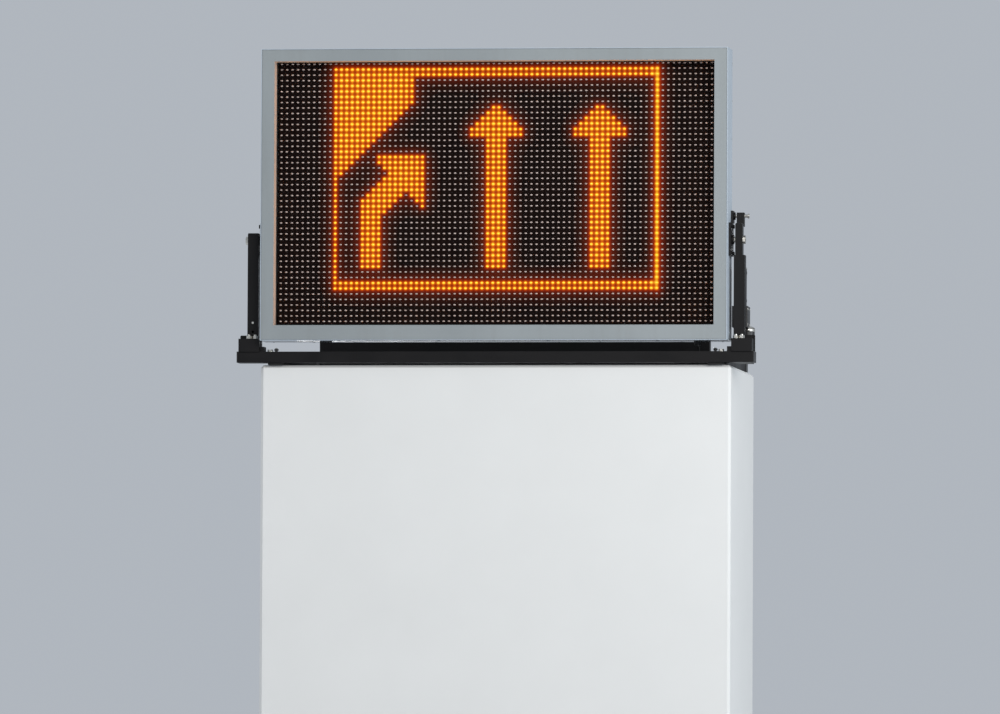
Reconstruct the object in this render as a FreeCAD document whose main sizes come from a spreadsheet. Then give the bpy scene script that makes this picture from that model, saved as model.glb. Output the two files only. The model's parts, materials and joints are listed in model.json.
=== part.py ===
import FreeCAD
import Part
import os
import Sketcher

# Arrow board on a rack mount: X right seen from the rear, -Y towards following traffic, Z up.
doc = FreeCAD.newDocument("arrow_board")
V = FreeCAD.Vector
X_AXIS = V(1, 0, 0)
Y_AXIS = V(0, 1, 0)
Z_AXIS = V(0, 0, 1)

DIMENSIONS = {
    # cabinet shell and front frame
    "cab_w": 1710, "cab_h": 1064, "cab_d": 160, "cab_y": -450, "cab_z": 86, "skin": 3,
    "groove": 1, "bezel_side": 49, "bezel_top": 45.6, "bezel_foot": 55.8, "bezel_t": 3,
    "bezel_set": 0.5, "lip_d": 64.5,
    "gland_x": 735, "gland_y": -330, "gland_r": 8, "gland_bore_r": 5, "gland_af": 22,
    # window
    "glass_t": 3, "glass_y": -392, "glass_gap": 0.5, "seal_w": 2.4, "seal_d": 6,
    # display modules and the rails they hang on
    "mod_w": 320, "mod_h": 160, "mod_d": 20, "mod_y": -376, "mod_gap": 0.4, "mod_z": 148.7,
    "mod_rib": 6, "mod_face": 4, "rail_w": 36, "rail_d": 16, "rail_wall": 3,
    # equipment behind the display
    "plate_w": 500, "plate_h": 420, "plate_t": 2, "plate_z": 420,
    "supply_w": 115, "supply_d": 26, "supply_h": 160, "supply_rim": 10, "notch_d": 12, "notch_h": 26,
    "card_w": 80, "card_d": 10, "card_h": 146, "card_z": 660,
    "bridge_w": 374, "bridge_h": 200, "bridge_z": 535,
    "brain_w": 220, "brain_d": 26, "brain_h": 150, "brain_z": 560,
    "strip_x": 505, "strip_w": 110, "strip_d": 12, "strip_h": 30, "strip_z": 434,
    "clip_w": 9, "clip_d": 10, "clip_h": 24, "clip_pitch": 11.5,
    # back panels
    "jamb_d": 16, "jamb_lap": 3, "jamb_land": 14, "door_seal_w": 9, "door_seal_t": 5,
    "vent_x": 90, "vent_w": 150, "vent_h": 24, "hood_rim": 15, "hood_drop": 12,
    "hood_d": 20, "hood_h": 46, "hood_wall": 3,
    # base frame
    "pad_t": 8, "pad_w": 56, "beam_x": 945, "beam_y": -396, "beam_d": 80, "beam_h": 40, "beam_wall": 4,
    "cap_t": 3, "side_x": 776, "side_w": 60, "side_end": 390, "tube_wall": 3, "mid_y": 180,
    "stub_x": 862, "stub_w": 70, "stub_d": 80,
    "ear_w": 100, "ear_d": 80, "ear_t": 6, "ear_hole_r": 8.5, "ear_x": 724,
    "ear_y_rear": -200, "ear_y_front": 330,
    # posts and their feet
    "post_x": 871.5, "post_w": 40, "post_d": 50, "post_y": -378, "post_wall": 4,
    "post_z": 95, "post_top": 479, "sleeve_top": 398, "bar_w": 26, "bar_d": 41, "bar_low": 200, "bar_top": 512,
    "bar_gap": 0.5, "drain_r": 4.5, "drain_z": 121, "screw_r": 4, "screw_h": 3, "screw_z": 154,
    "foot_x": 865, "foot_w": 76, "foot_d": 80, "foot_wall": 6, "foot_roof": 8, "foot_front": 4,
    "toe_w": 16, "toe_d": 60, "toe_h": 18, "heel_x": 903, "heel_w": 40, "heel_t": 8, "heel_h": 62,
    "nut_y": -389.5, "nut_af": 18, "nut_h": 10, "stud_r": 5.5, "stud_h": 14,
    "bolt_x": 827, "bolt_y": -376, "bolt_af": 17, "bolt_h": 8, "washer_r": 10, "washer_t": 2,
    "knob_x": 805, "knob_y": -370, "knob_r": 8, "knob_h": 6, "knob_stem_r": 5, "knob_stem_h": 12,
    # tilt pivot
    "pivot_y": -353, "pivot_z": 455, "pivot_r": 10, "pivot_end": 0.6, "running": 0.05,
    "head_af": 26, "head_h": 8, "head_washer_r": 15, "head_grip": 4,
    "hinge_t": 8, "hinge_w": 100, "hinge_h": 120, "boss_r": 17, "boss_h": 7,
    "fix_y": 39, "fix_z": 49, "fix_r": 7, "fix_h": 5,
    # rest stand
    "leg_x": 685, "leg_w": 40, "rest_y": 190, "rest_z": 330, "rest_low_z": 72,
    "rest_pad_x": 540, "rest_pad_w": 140, "rest_pad_t": 21,
    # service doors
    "door_x": 358, "door_w": 440, "door_h": 806, "door_z": 172, "door_d": 10, "door_gap": 2,
    "hinge_off": 1, "hinge_out": 5, "hinge_r": 4.8, "hinge_pin_r": 3,
    "leaf_w": 32, "leaf_t": 2.5, "leaf_h": 80, "knuckle_h": 26, "knuckle_gap": 0.5, "leaf_step": 6,
    "leaf_tab": 10,
    "latch_x": 385, "latch_r": 5, "rose_r": 14, "rose_h": 4, "rose_gap": 0.3,
    "grip_w": 10, "grip_d": 12, "grip_h": 52, "cam_w": 14, "cam_t": 3, "cam_h": 35, "cam_in": 24,
    # linear actuator, drawn along its own line from the lower pin
    "act_x": 889, "act_y": -303, "act_z": 70, "pin_r": 6, "pin_up": 474.1,
    "eye_r": 13, "eye_w": 24, "neck_w": 20, "neck_low": 4, "neck_h": 70,
    "gear_x": -29, "gear_y": -25, "gear_z": 68, "gear_w": 57, "gear_d": 92, "gear_h": 77,
    "seat_x": -23, "seat_y": -22, "seat_w": 46, "seat_d": 47, "seat_h": 100,
    "motor_x": 24, "motor_y": 41, "motor_z": 16, "motor_r": 24, "motor_h": 52,
    "tube_r": 22, "tube_z": 76, "tube_h": 204, "tube_floor": 6, "collar_r": 23, "collar_t": 6,
    "rod_r": 11, "rod_z": 242, "rod_h": 194, "rod_play": 3,
    "end_w": 27, "end_d": 34, "end_h": 50, "end_x": -14.5,
    "rod_pin_x": -19.5, "rod_pin_h": 50, "rod_pin_head_r": 9, "rod_pin_head_h": 5, "rod_pin_head_x": 25,
    "lug_y": -328, "lug_z": 518, "lug_w": 56, "lug_h": 44, "lug_pin_y": -293, "lug_pin_z": 544,
    "lug_boss_r": 14, "lug_boss_h": 5.5,
    "fork_in": 19, "fork_t": 6, "fork_gap": 13, "fork_y": -316, "fork_d": 28, "fork_h": 40, "sole_t": 4,
    "base_pin_h": 46, "base_pin_out": 23, "base_pin_head_h": 4,
}
ACTUATOR_LEAN = -1.20860
MODULE_COLUMNS = 5
MODULE_ROWS = 6
RAIL_CENTRES = (-780, -480, -160, 160, 480, 780)
SUPPLY_LEVELS = (490, 665)
# side of the cabinet, then the left edges of its plate, its power supplies and its receiver card
EQUIPMENT = (("left", -690, -615, -500), ("right", 190, 500, 405))
TERMINALS = 9
VENT_LEVELS = (262, 912)
HINGE_LEVELS = (230, 850)
LATCH_LEVELS = (("lower", 330), ("upper", 820))
# start and length of each rubber pad along the frame
PADS = ((-386, 66), (0, 60), (400, 44))
FOOT_NUTS_X = (881, 903)
BEYOND = 20

sheet = doc.addObject("Spreadsheet::Sheet", "dims")
for row, (alias, value) in enumerate(DIMENSIONS.items(), start=1):
    sheet.set("A%d" % row, alias)
    sheet.set("B%d" % row, str(value))
    sheet.setAlias("B%d" % row, alias)
doc.recompute()

NODES = []


def bind(obj, prop, value):
    """Set one size or position, as a number or as an expression on the sheet."""
    obj.setExpression(prop, str(value))


def place(obj, at):
    for axis, value in zip("xyz", at):
        bind(obj, "Placement.Base." + axis, value)


def box(name, size, at):
    obj = doc.addObject("Part::Box", name)
    for prop, value in zip(("Length", "Width", "Height"), size):
        bind(obj, prop, value)
    place(obj, at)
    return obj


def cylinder(name, radius, length, at, axis=Z_AXIS):
    obj = doc.addObject("Part::Cylinder", name)
    obj.Placement.Rotation = FreeCAD.Rotation(Z_AXIS, axis)
    bind(obj, "Radius", radius)
    bind(obj, "Height", length)
    place(obj, at)
    return obj


def hexagon(name, across_flats, length, at, axis=Z_AXIS):
    obj = doc.addObject("Part::Prism", name)
    obj.Polygon = 6
    obj.Placement.Rotation = FreeCAD.Rotation(Z_AXIS, axis)
    bind(obj, "Circumradius", "(%s) / sqrt(3)" % across_flats)
    bind(obj, "Height", length)
    place(obj, at)
    return obj


def sphere(name, radius, at):
    obj = doc.addObject("Part::Sphere", name)
    bind(obj, "Radius", radius)
    place(obj, at)
    return obj


def cut(name, base, *tools):
    result = base
    for index, tool in enumerate(tools):
        step = doc.addObject("Part::Cut", "%s_cut_%d" % (name, index))
        step.Base = result
        step.Tool = tool
        result = step
    return result


def fuse(name, *shapes):
    obj = doc.addObject("Part::MultiFuse", name)
    obj.Shapes = list(shapes)
    return obj


def group(name, *shapes):
    obj = doc.addObject("Part::Compound", name)
    obj.Links = list(shapes)
    return obj


def mirrored(name, source, normal=X_AXIS):
    obj = doc.addObject("Part::Mirroring", name)
    obj.Source = source
    obj.Normal = normal
    return obj


def node(label, obj):
    obj.Label = label
    NODES.append(obj)
    return obj


def tube_box(name, size, at, wall, along):
    """A rectangular tube, open at both ends along one axis."""
    inner_size = []
    inner_at = []
    for index in range(3):
        if index == along:
            inner_size.append(size[index])
            inner_at.append(at[index])
        else:
            inner_size.append("(%s) - 2 * %s" % (size[index], wall))
            inner_at.append("(%s) + %s" % (at[index], wall))
    return cut(name, box(name + "_outer", size, at), box(name + "_inner", inner_size, inner_at))


def rectangle(sketch, width, height, inset):
    """A rectangle with its lower left corner inset from the sketch origin on both sides."""
    corners = [V(20, 20, 0), V(60, 20, 0), V(60, 50, 0), V(20, 50, 0)]
    for index in range(4):
        sketch.addGeometry(Part.LineSegment(corners[index], corners[(index + 1) % 4]), False)
    for index in range(4):
        sketch.addConstraint(Sketcher.Constraint("Coincident", index, 2, (index + 1) % 4, 1))
    sketch.addConstraint(Sketcher.Constraint("Horizontal", 0))
    sketch.addConstraint(Sketcher.Constraint("Horizontal", 2))
    sketch.addConstraint(Sketcher.Constraint("Vertical", 1))
    sketch.addConstraint(Sketcher.Constraint("Vertical", 3))
    named = [("DistanceX", 0, 1, 0, 2, 40, "wide", width), ("DistanceY", 1, 1, 1, 2, 30, "high", height)]
    for kind, first, end_a, second, end_b, start, title, value in named:
        index = sketch.addConstraint(Sketcher.Constraint(kind, first, end_a, second, end_b, start))
        sketch.renameConstraint(index, title)
        sketch.setExpression("Constraints." + title, value)
    if inset is None:
        sketch.addConstraint(Sketcher.Constraint("Coincident", 0, 1, -1, 1))
    else:
        for kind, title in (("DistanceX", "inset_x"), ("DistanceY", "inset_y")):
            index = sketch.addConstraint(Sketcher.Constraint(kind, -1, 1, 0, 1, 20))
            sketch.renameConstraint(index, title)
            sketch.setExpression("Constraints." + title, inset)


def plane_of(body, role):
    for item in body.Origin.OriginFeatures:
        if item.Role == role:
            return item
    raise ValueError(role)


def plate_body(name, width, height, depth, at, upright):
    """A padded rectangle: lying flat, or upright with its back face at the given Y."""
    body = doc.addObject("PartDesign::Body", name)
    sketch = body.newObject("Sketcher::SketchObject", name + "_outline")
    sketch.AttachmentSupport = (plane_of(body, "XY_Plane"), [""])
    sketch.MapMode = "FlatFace"
    rectangle(sketch, width, height, None)
    pad = body.newObject("PartDesign::Pad", name + "_pad")
    pad.Profile = sketch
    pad.setExpression("Length", depth)
    if upright:
        body.Placement.Rotation = FreeCAD.Rotation(X_AXIS, 90)
    place(body, at)
    return body


def tray_pocket(body, name, width, height, inset, level, depth):
    """Hollow the plate from its inner face and leave the outer skin."""
    sketch = body.newObject("Sketcher::SketchObject", name + "_hollow")
    sketch.AttachmentSupport = (plane_of(body, "XY_Plane"), [""])
    sketch.MapMode = "FlatFace"
    sketch.setExpression("AttachmentOffset.Base.z", level)
    rectangle(sketch, width, height, inset)
    pocket = body.newObject("PartDesign::Pocket", name + "_pocket")
    pocket.Profile = sketch
    pocket.setExpression("Length", depth)
    return pocket


def round_pocket(body, name, radius, at_x, at_y, level):
    """One round hole right through the plate."""
    sketch = body.newObject("Sketcher::SketchObject", name + "_ring")
    sketch.AttachmentSupport = (plane_of(body, "XY_Plane"), [""])
    sketch.MapMode = "FlatFace"
    sketch.setExpression("AttachmentOffset.Base.z", level)
    sketch.addGeometry(Part.Circle(V(30, 30, 0), V(0, 0, 1), 5), False)
    index = sketch.addConstraint(Sketcher.Constraint("Radius", 0, 5))
    sketch.renameConstraint(index, "ring")
    sketch.setExpression("Constraints.ring", radius)
    for kind, title, value in (("DistanceX", "at_x", at_x), ("DistanceY", "at_y", at_y)):
        index = sketch.addConstraint(Sketcher.Constraint(kind, -1, 1, 0, 3, 30))
        sketch.renameConstraint(index, title)
        sketch.setExpression("Constraints." + title, value)
    pocket = body.newObject("PartDesign::Pocket", name + "_bore")
    pocket.Profile = sketch
    pocket.Type = "ThroughAll"
    return pocket


# ---------------------------------------------------------------- base frame
FRAME_TOP = "(dims.pad_t + dims.beam_h)"
BEAM_BACK = "(dims.beam_y + dims.beam_d)"


def base_frame():
    beam = tube_box("rear_tube", ("2 * dims.beam_x", "dims.beam_d", "dims.beam_h"),
                    ("-dims.beam_x", "dims.beam_y", "dims.pad_t"), "dims.beam_wall", 0)
    stub = tube_box("stub_tube", ("dims.stub_w", "dims.stub_d", "dims.beam_h"),
                    ("dims.stub_x", BEAM_BACK, "dims.pad_t"), "dims.tube_wall", 1)
    node("rear_beam", fuse("rear_beam_with_stub", beam, stub))
    right = tube_box("side_rail", ("dims.side_w", "dims.side_end - " + BEAM_BACK, "dims.beam_h"),
                     ("dims.side_x", BEAM_BACK, "dims.pad_t"), "dims.tube_wall", 1)
    node("side_rails", group("side_rails_pair", right, mirrored("side_rail_left", right)))
    front = tube_box("front_beam", ("2 * (dims.side_x + dims.side_w)", "dims.side_w", "dims.beam_h"),
                     ("-dims.side_x - dims.side_w", "dims.side_end", "dims.pad_t"), "dims.tube_wall", 0)
    node("front_beam", front)
    mid = tube_box("mid_beam", ("2 * dims.side_x", "dims.side_w", "dims.beam_h"),
                   ("-dims.side_x", "dims.mid_y", "dims.pad_t"), "dims.tube_wall", 0)
    node("mid_beam", mid)
    rear_cap = box("rear_cap", ("dims.cap_t", "dims.beam_d", "dims.beam_h"),
                   ("dims.beam_x", "dims.beam_y", "dims.pad_t"))
    front_cap = box("front_cap", ("dims.cap_t", "dims.side_w", "dims.beam_h"),
                    ("dims.side_x + dims.side_w", "dims.side_end", "dims.pad_t"))
    stub_cap = box("stub_cap", ("dims.stub_w", "dims.cap_t", "dims.beam_h"),
                   ("dims.stub_x", BEAM_BACK + " + dims.stub_d", "dims.pad_t"))
    node("beam_end_caps", group("caps", rear_cap, mirrored("rear_cap_left", rear_cap),
                                front_cap, mirrored("front_cap_left", front_cap), stub_cap))
    pads = []
    for index, (pad_y, pad_l) in enumerate(PADS):
        pad = box("pad_%d" % index, ("dims.pad_w", pad_l, "dims.pad_t"),
                  ("dims.side_x + (dims.side_w - dims.pad_w) / 2", pad_y, 0))
        pads += [pad, mirrored("pad_left_%d" % index, pad)]
    node("rubber_pads", group("pads", *pads))
    ears = []
    for index, ear_y in enumerate(("dims.ear_y_rear", "dims.ear_y_front")):
        ear = plate_body("ear_%d" % index, "dims.ear_w", "dims.ear_d", "dims.ear_t",
                         ("dims.side_x - dims.ear_w", ear_y + " - dims.ear_d / 2", "dims.pad_t"), False)
        round_pocket(ear, "ear_%d" % index, "dims.ear_hole_r", "dims.ear_x - dims.side_x + dims.ear_w",
                     "dims.ear_d / 2", "dims.ear_t")
        ears += [ear, mirrored("ear_left_%d" % index, ear)]
    node("mount_ears", group("ears", *ears))


def posts():
    bore_r = "dims.pivot_r + dims.running"
    pivot_hole = cylinder("post_pivot_hole", bore_r, "dims.post_w + 2 * %d" % BEYOND,
                          ("-dims.post_x - dims.post_w - %d" % BEYOND, "dims.pivot_y", "dims.pivot_z"), X_AXIS)
    middle = "-dims.post_x - dims.post_w / 2"
    drain = cylinder("post_drain", "dims.drain_r", "2 * dims.post_wall",
                     (middle, "dims.post_y - dims.post_wall / 2", "dims.drain_z"), Y_AXIS)
    outer = box("post_left_outer", ("dims.post_w", "dims.post_d", "dims.post_top - dims.post_z"),
                ("-dims.post_x - dims.post_w", "dims.post_y", "dims.post_z"))
    inner = box("post_left_inner", ("dims.post_w - 2 * dims.post_wall", "dims.post_d - 2 * dims.post_wall",
                                    "dims.post_top - dims.post_z - dims.post_wall"),
                ("-dims.post_x - dims.post_w + dims.post_wall", "dims.post_y + dims.post_wall", "dims.post_z"))
    node("post_left", cut("post_left_shell", outer, inner, pivot_hole, drain))
    sleeve = tube_box("post_right_sleeve", ("dims.post_w", "dims.post_d", "dims.sleeve_top - dims.post_z"),
                      ("dims.post_x", "dims.post_y", "dims.post_z"), "dims.post_wall", 2)
    node("post_right", sleeve)
    bar = box("pivot_bar", ("dims.bar_w", "dims.bar_d", "dims.bar_top - dims.bar_low"),
              ("dims.post_x + dims.post_wall + dims.bar_gap", "dims.pivot_y - dims.bar_d / 2", "dims.bar_low"))
    bar_hole = cylinder("bar_hole", bore_r, "dims.post_w + 2 * %d" % BEYOND,
                        ("dims.post_x - %d" % BEYOND, "dims.pivot_y", "dims.pivot_z"), X_AXIS)
    node("pivot_bar_right", cut("pivot_bar_bored", bar, bar_hole))
    block = box("foot_block", ("dims.foot_w", "dims.foot_d", "dims.post_z - " + FRAME_TOP),
                ("dims.foot_x", "dims.beam_y - dims.foot_front", FRAME_TOP))
    hollow = box("foot_hollow", ("dims.foot_w - 2 * dims.foot_wall", "dims.foot_d - 2 * dims.foot_wall",
                                 "dims.post_z - dims.foot_roof - " + FRAME_TOP),
                 ("dims.foot_x + dims.foot_wall", "dims.beam_y - dims.foot_front + dims.foot_wall", FRAME_TOP))
    toe = box("foot_toe", ("dims.toe_w", "dims.toe_d", "dims.toe_h"),
              ("dims.foot_x - dims.toe_w", "dims.beam_y + dims.foot_wall", FRAME_TOP))
    heel = box("foot_heel", ("dims.heel_w", "dims.heel_t", "dims.heel_h"),
               ("dims.heel_x", BEAM_BACK + " - dims.heel_t", FRAME_TOP))
    foot = fuse("foot_right", cut("foot_shell", block, hollow), toe, heel)
    node("post_feet", group("feet", foot, mirrored("foot_left", foot)))
    fixings = []
    for index, nut_x in enumerate(FOOT_NUTS_X):
        at = (nut_x, "dims.nut_y", "dims.post_z")
        nut = hexagon("foot_nut_%d" % index, "dims.nut_af", "dims.nut_h", at)
        tip = cylinder("foot_stud_%d" % index, "dims.stud_r", "dims.stud_h", at)
        joined = fuse("foot_fixing_%d" % index, nut, tip)
        fixings += [joined, mirrored("foot_fixing_left_%d" % index, joined)]
    fixings.append(cylinder("post_screw_head", "dims.screw_r", "dims.screw_h",
                            (middle, "dims.post_y - dims.screw_h", "dims.screw_z"), Y_AXIS))
    node("post_fixings", group("foot_fixings", *fixings))
    bolt_at = ("dims.bolt_x", "dims.bolt_y", FRAME_TOP)
    bolt = fuse("beam_bolt", hexagon("beam_bolt_head", "dims.bolt_af", "dims.bolt_h", bolt_at),
                cylinder("beam_bolt_washer", "dims.washer_r", "dims.washer_t", bolt_at))
    node("beam_bolts", group("beam_bolt_pair", bolt, mirrored("beam_bolt_left", bolt)))
    stem = cylinder("knob_stem", "dims.knob_stem_r", "dims.knob_stem_h",
                    ("dims.knob_x", "dims.knob_y", FRAME_TOP))
    knob = fuse("beam_knob", stem, cylinder("knob_head", "dims.knob_r", "dims.knob_h",
                                            ("dims.knob_x", "dims.knob_y", FRAME_TOP + " + 4")))
    node("clamp_knobs", group("knobs", knob, mirrored("knob_left", knob)))


def pivot_bolts():
    """One bolt each side: through the post, through the hinge plate's boss, up to the cabinet wall."""
    parts = []
    seats = {"left": "-(dims.post_x + dims.post_w)",
             "right": "(dims.post_x + dims.post_wall + dims.bar_gap + dims.bar_w)"}
    for side, seat in seats.items():
        sign = -1 if side == "left" else 1
        outward = V(sign, 0, 0)
        end = "%d * (dims.cab_w / 2 + dims.pivot_end)" % sign
        head = hexagon("pivot_head_" + side, "dims.head_af", "dims.head_h",
                       ("%s + %d * dims.washer_t" % (seat, sign), "dims.pivot_y", "dims.pivot_z"), outward)
        washer = cylinder("pivot_washer_" + side, "dims.head_washer_r", "dims.washer_t",
                          (seat, "dims.pivot_y", "dims.pivot_z"), outward)
        shank = cylinder("pivot_shank_" + side, "dims.pivot_r",
                         "abs(%s - %s) + dims.head_grip" % (seat, end),
                         (end, "dims.pivot_y", "dims.pivot_z"), outward)
        parts.append(fuse("pivot_bolt_" + side, head, washer, shank))
    node("pivot_bolts", group("pivot_bolt_pair", *parts))


def rest_stand():
    leg = tube_box("rest_leg", ("dims.leg_w", "dims.leg_w", "dims.rest_z - " + FRAME_TOP),
                   ("dims.leg_x", "dims.rest_y", FRAME_TOP), "dims.tube_wall", 2)
    low = tube_box("rest_low", ("2 * dims.leg_x", "dims.leg_w", "dims.leg_w"),
                   ("-dims.leg_x", "dims.rest_y", "dims.rest_low_z"), "dims.tube_wall", 0)
    high = tube_box("rest_high", ("2 * (dims.leg_x + dims.leg_w)", "dims.leg_w", "dims.leg_w"),
                    ("-dims.leg_x - dims.leg_w", "dims.rest_y", "dims.rest_z"), "dims.tube_wall", 0)
    node("rest_stand", group("rest_tubes", leg, mirrored("rest_leg_left", leg), low, high))
    pad = box("rest_pad", ("dims.rest_pad_w", "dims.leg_w", "dims.rest_pad_t"),
              ("dims.rest_pad_x", "dims.rest_y", "dims.rest_z + dims.leg_w"))
    node("rest_pads", group("rest_pad_pair", pad, mirrored("rest_pad_left", pad)))


# ---------------------------------------------------------------- cabinet
CAB_HALF = "(dims.cab_w / 2)"
CAB_BACK = "(dims.cab_y + dims.cab_d)"
CAB_TOP = "(dims.cab_z + dims.cab_h)"
OPENING_HALF = "(dims.cab_w / 2 - dims.bezel_side)"


def cabinet_skins():
    top = box("skin_top", ("dims.cab_w", "dims.cab_d", "dims.skin"),
              ("-" + CAB_HALF, "dims.cab_y", CAB_TOP + " - dims.skin"))
    node("cabinet_top", top)
    floor = box("skin_floor", ("dims.cab_w", "dims.cab_d", "dims.skin"),
                ("-" + CAB_HALF, "dims.cab_y", "dims.cab_z"))
    gland_hole = cylinder("gland_hole", "dims.gland_r + dims.running", 10,
                          ("dims.gland_x", "dims.gland_y", "dims.cab_z - 2"))
    node("cabinet_floor", cut("skin_floor_holed", floor, gland_hole))
    side = box("skin_side", ("dims.skin", "dims.cab_d", "dims.cab_h - 2 * dims.skin"),
               (CAB_HALF + " - dims.skin", "dims.cab_y", "dims.cab_z + dims.skin"))
    node("cabinet_sides", group("sides", side, mirrored("skin_side_left", side)))
    neck = cylinder("gland_neck", "dims.gland_r", 28, ("dims.gland_x", "dims.gland_y", "dims.cab_z - 15"))
    nut = hexagon("gland_nut", "dims.gland_af", 8, ("dims.gland_x", "dims.gland_y", "dims.cab_z - 8"))
    dome = cylinder("gland_dome", "dims.gland_r + 2", 8, ("dims.gland_x", "dims.gland_y", "dims.cab_z - 16"))
    bore = cylinder("gland_bore", "dims.gland_bore_r", 60,
                    ("dims.gland_x", "dims.gland_y", "dims.cab_z - 20"))
    node("cable_gland", cut("gland_bored", fuse("gland", neck, nut, dome), bore))


def bezel():
    outer_x = CAB_HALF + " - dims.skin - dims.groove"
    low_z = "(dims.cab_z + dims.skin + dims.groove)"
    high_z = "(%s - dims.skin - dims.groove)" % CAB_TOP
    face_y = "dims.cab_y + dims.bezel_set"
    lip_y = "dims.cab_y + dims.bezel_set + dims.bezel_t"
    tall = "%s - %s" % (high_z, low_z)
    face = box("bezel_side_face", ("%s - %s" % (outer_x, OPENING_HALF), "dims.bezel_t", tall),
               (OPENING_HALF, face_y, low_z))
    lip = box("bezel_side_lip", ("dims.bezel_t", "dims.lip_d", tall), (OPENING_HALF, lip_y, low_z))
    right = fuse("bezel_right", face, lip)
    node("bezel_sides", group("bezel_uprights", right, mirrored("bezel_left", right)))
    wide = "2 * " + OPENING_HALF
    opening_low = "(dims.cab_z + dims.bezel_foot)"
    opening_high = "(%s - dims.bezel_top)" % CAB_TOP
    members = []
    for name, face_low, face_high, lip_low in (
            ("foot", low_z, opening_low, opening_low + " - dims.bezel_t"),
            ("head", opening_high, high_z, opening_high)):
        face = box("bezel_%s_face" % name, (wide, "dims.bezel_t", "%s - %s" % (face_high, face_low)),
                   ("-" + OPENING_HALF, face_y, face_low))
        lip = box("bezel_%s_lip" % name, (wide, "dims.lip_d", "dims.bezel_t"),
                  ("-" + OPENING_HALF, lip_y, lip_low))
        members.append(fuse("bezel_" + name, face, lip))
    node("bezel_head_and_foot", group("bezel_cross_members", *members))
    pane_w = "(2 * %s - 2 * dims.glass_gap)" % OPENING_HALF
    pane_h = "(%s - %s - 2 * dims.glass_gap)" % (opening_high, opening_low)
    pane_z = opening_low + " + dims.glass_gap"
    seal_y = "dims.glass_y + dims.glass_t"
    node("window", plate_body("window_pane", pane_w, pane_h, "dims.glass_t",
                              ("-%s / 2" % pane_w, seal_y, pane_z), True))
    outer = box("seal_outer", (pane_w, "dims.seal_d", pane_h), ("-%s / 2" % pane_w, seal_y, pane_z))
    inner = box("seal_inner", (pane_w + " - 2 * dims.seal_w", "dims.seal_d", pane_h + " - 2 * dims.seal_w"),
                ("-%s / 2 + dims.seal_w" % pane_w, seal_y, pane_z + " + dims.seal_w"))
    node("window_gasket", cut("seal_ring", outer, inner))


def led_modules():
    """Thirty display modules, five across and six up, in three pairs of rows."""
    for band, title in enumerate(("lower", "middle", "upper")):
        solids = []
        for row in (2 * band, 2 * band + 1):
            for column in range(MODULE_COLUMNS):
                name = "module_%d_%d" % (row, column)
                at_x = "(%d - %d / 2) * dims.mod_w + dims.mod_gap / 2" % (column, MODULE_COLUMNS)
                at_z = "dims.mod_z + %d * dims.mod_h + dims.mod_gap / 2" % row
                wide = "dims.mod_w - dims.mod_gap"
                tall = "dims.mod_h - dims.mod_gap"
                body = box(name, (wide, "dims.mod_d", tall), (at_x, "dims.mod_y", at_z))
                hollow = box(name + "_back",
                             (wide + " - 2 * dims.mod_rib", "dims.mod_d - dims.mod_face",
                              tall + " - 2 * dims.mod_rib"),
                             (at_x + " + dims.mod_rib", "dims.mod_y + dims.mod_face",
                              at_z + " + dims.mod_rib"))
                solids.append(cut(name, body, hollow))
        node("led_modules_" + title, group("modules_" + title, *solids))
    rails = []
    rail_y = "dims.mod_y + dims.mod_d"
    rail_z = "dims.cab_z + dims.skin + dims.groove"
    rail_h = "dims.cab_h - 2 * dims.skin - 2 * dims.groove"
    for index, centre in enumerate(RAIL_CENTRES):
        name = "module_rail_%d" % index
        outer = box(name, ("dims.rail_w", "dims.rail_d", rail_h),
                    ("%d - dims.rail_w / 2" % centre, rail_y, rail_z))
        inner = box(name + "_inner",
                    ("dims.rail_w - 2 * dims.rail_wall", "dims.rail_d - dims.rail_wall", rail_h),
                    ("%d - dims.rail_w / 2 + dims.rail_wall" % centre, rail_y, rail_z))
        rails.append(cut(name, outer, inner))
    node("module_rails", group("rails", *rails))


def electronics():
    back = "(dims.mod_y + dims.mod_d + dims.rail_d)"
    face = "(dims.mod_y + dims.mod_d + dims.rail_d + dims.plate_t)"
    plates = []
    supplies = []
    cards = []
    for side, plate_x, supply_x, card_x in EQUIPMENT:
        plates.append(box("plate_" + side, ("dims.plate_w", "dims.plate_t", "dims.plate_h"),
                          (plate_x, back, "dims.plate_z")))
        for index, low in enumerate(SUPPLY_LEVELS):
            name = "supply_%s_%d" % (side, index)
            case = box(name, ("dims.supply_w", "dims.supply_d", "dims.supply_h"), (supply_x, face, low))
            notch = box(name + "_notch",
                        ("dims.supply_w - 2 * dims.supply_rim", "dims.notch_d + 1", "dims.notch_h"),
                        ("%d + dims.supply_rim" % supply_x, face + " + dims.supply_d - dims.notch_d", low))
            supplies.append(cut(name, case, notch))
        cards.append(box("card_" + side, ("dims.card_w", "dims.card_d", "dims.card_h"),
                         (card_x, face, "dims.card_z")))
    plates.append(box("controller_bridge", ("dims.bridge_w", "dims.plate_t", "dims.bridge_h"),
                      ("-dims.bridge_w / 2", back, "dims.bridge_z")))
    node("equipment_plates", group("plates", *plates))
    node("power_supplies", group("supplies", *supplies))
    node("receiver_cards", group("cards", *cards))
    node("controller", box("controller_case", ("dims.brain_w", "dims.brain_d", "dims.brain_h"),
                           ("-dims.brain_w / 2", face, "dims.brain_z")))
    blocks = [box("terminal_base", ("dims.strip_w", "dims.strip_d", "dims.strip_h"),
                  ("dims.strip_x", face, "dims.strip_z"))]
    for index in range(TERMINALS):
        blocks.append(box("terminal_%d" % index, ("dims.clip_w", "dims.clip_d", "dims.clip_h"),
                          ("dims.strip_x + 4 + %d * dims.clip_pitch" % index, face + " + dims.strip_d",
                           "dims.strip_z + (dims.strip_h - dims.clip_h) / 2")))
    node("terminal_block", fuse("terminals", *blocks))


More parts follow.
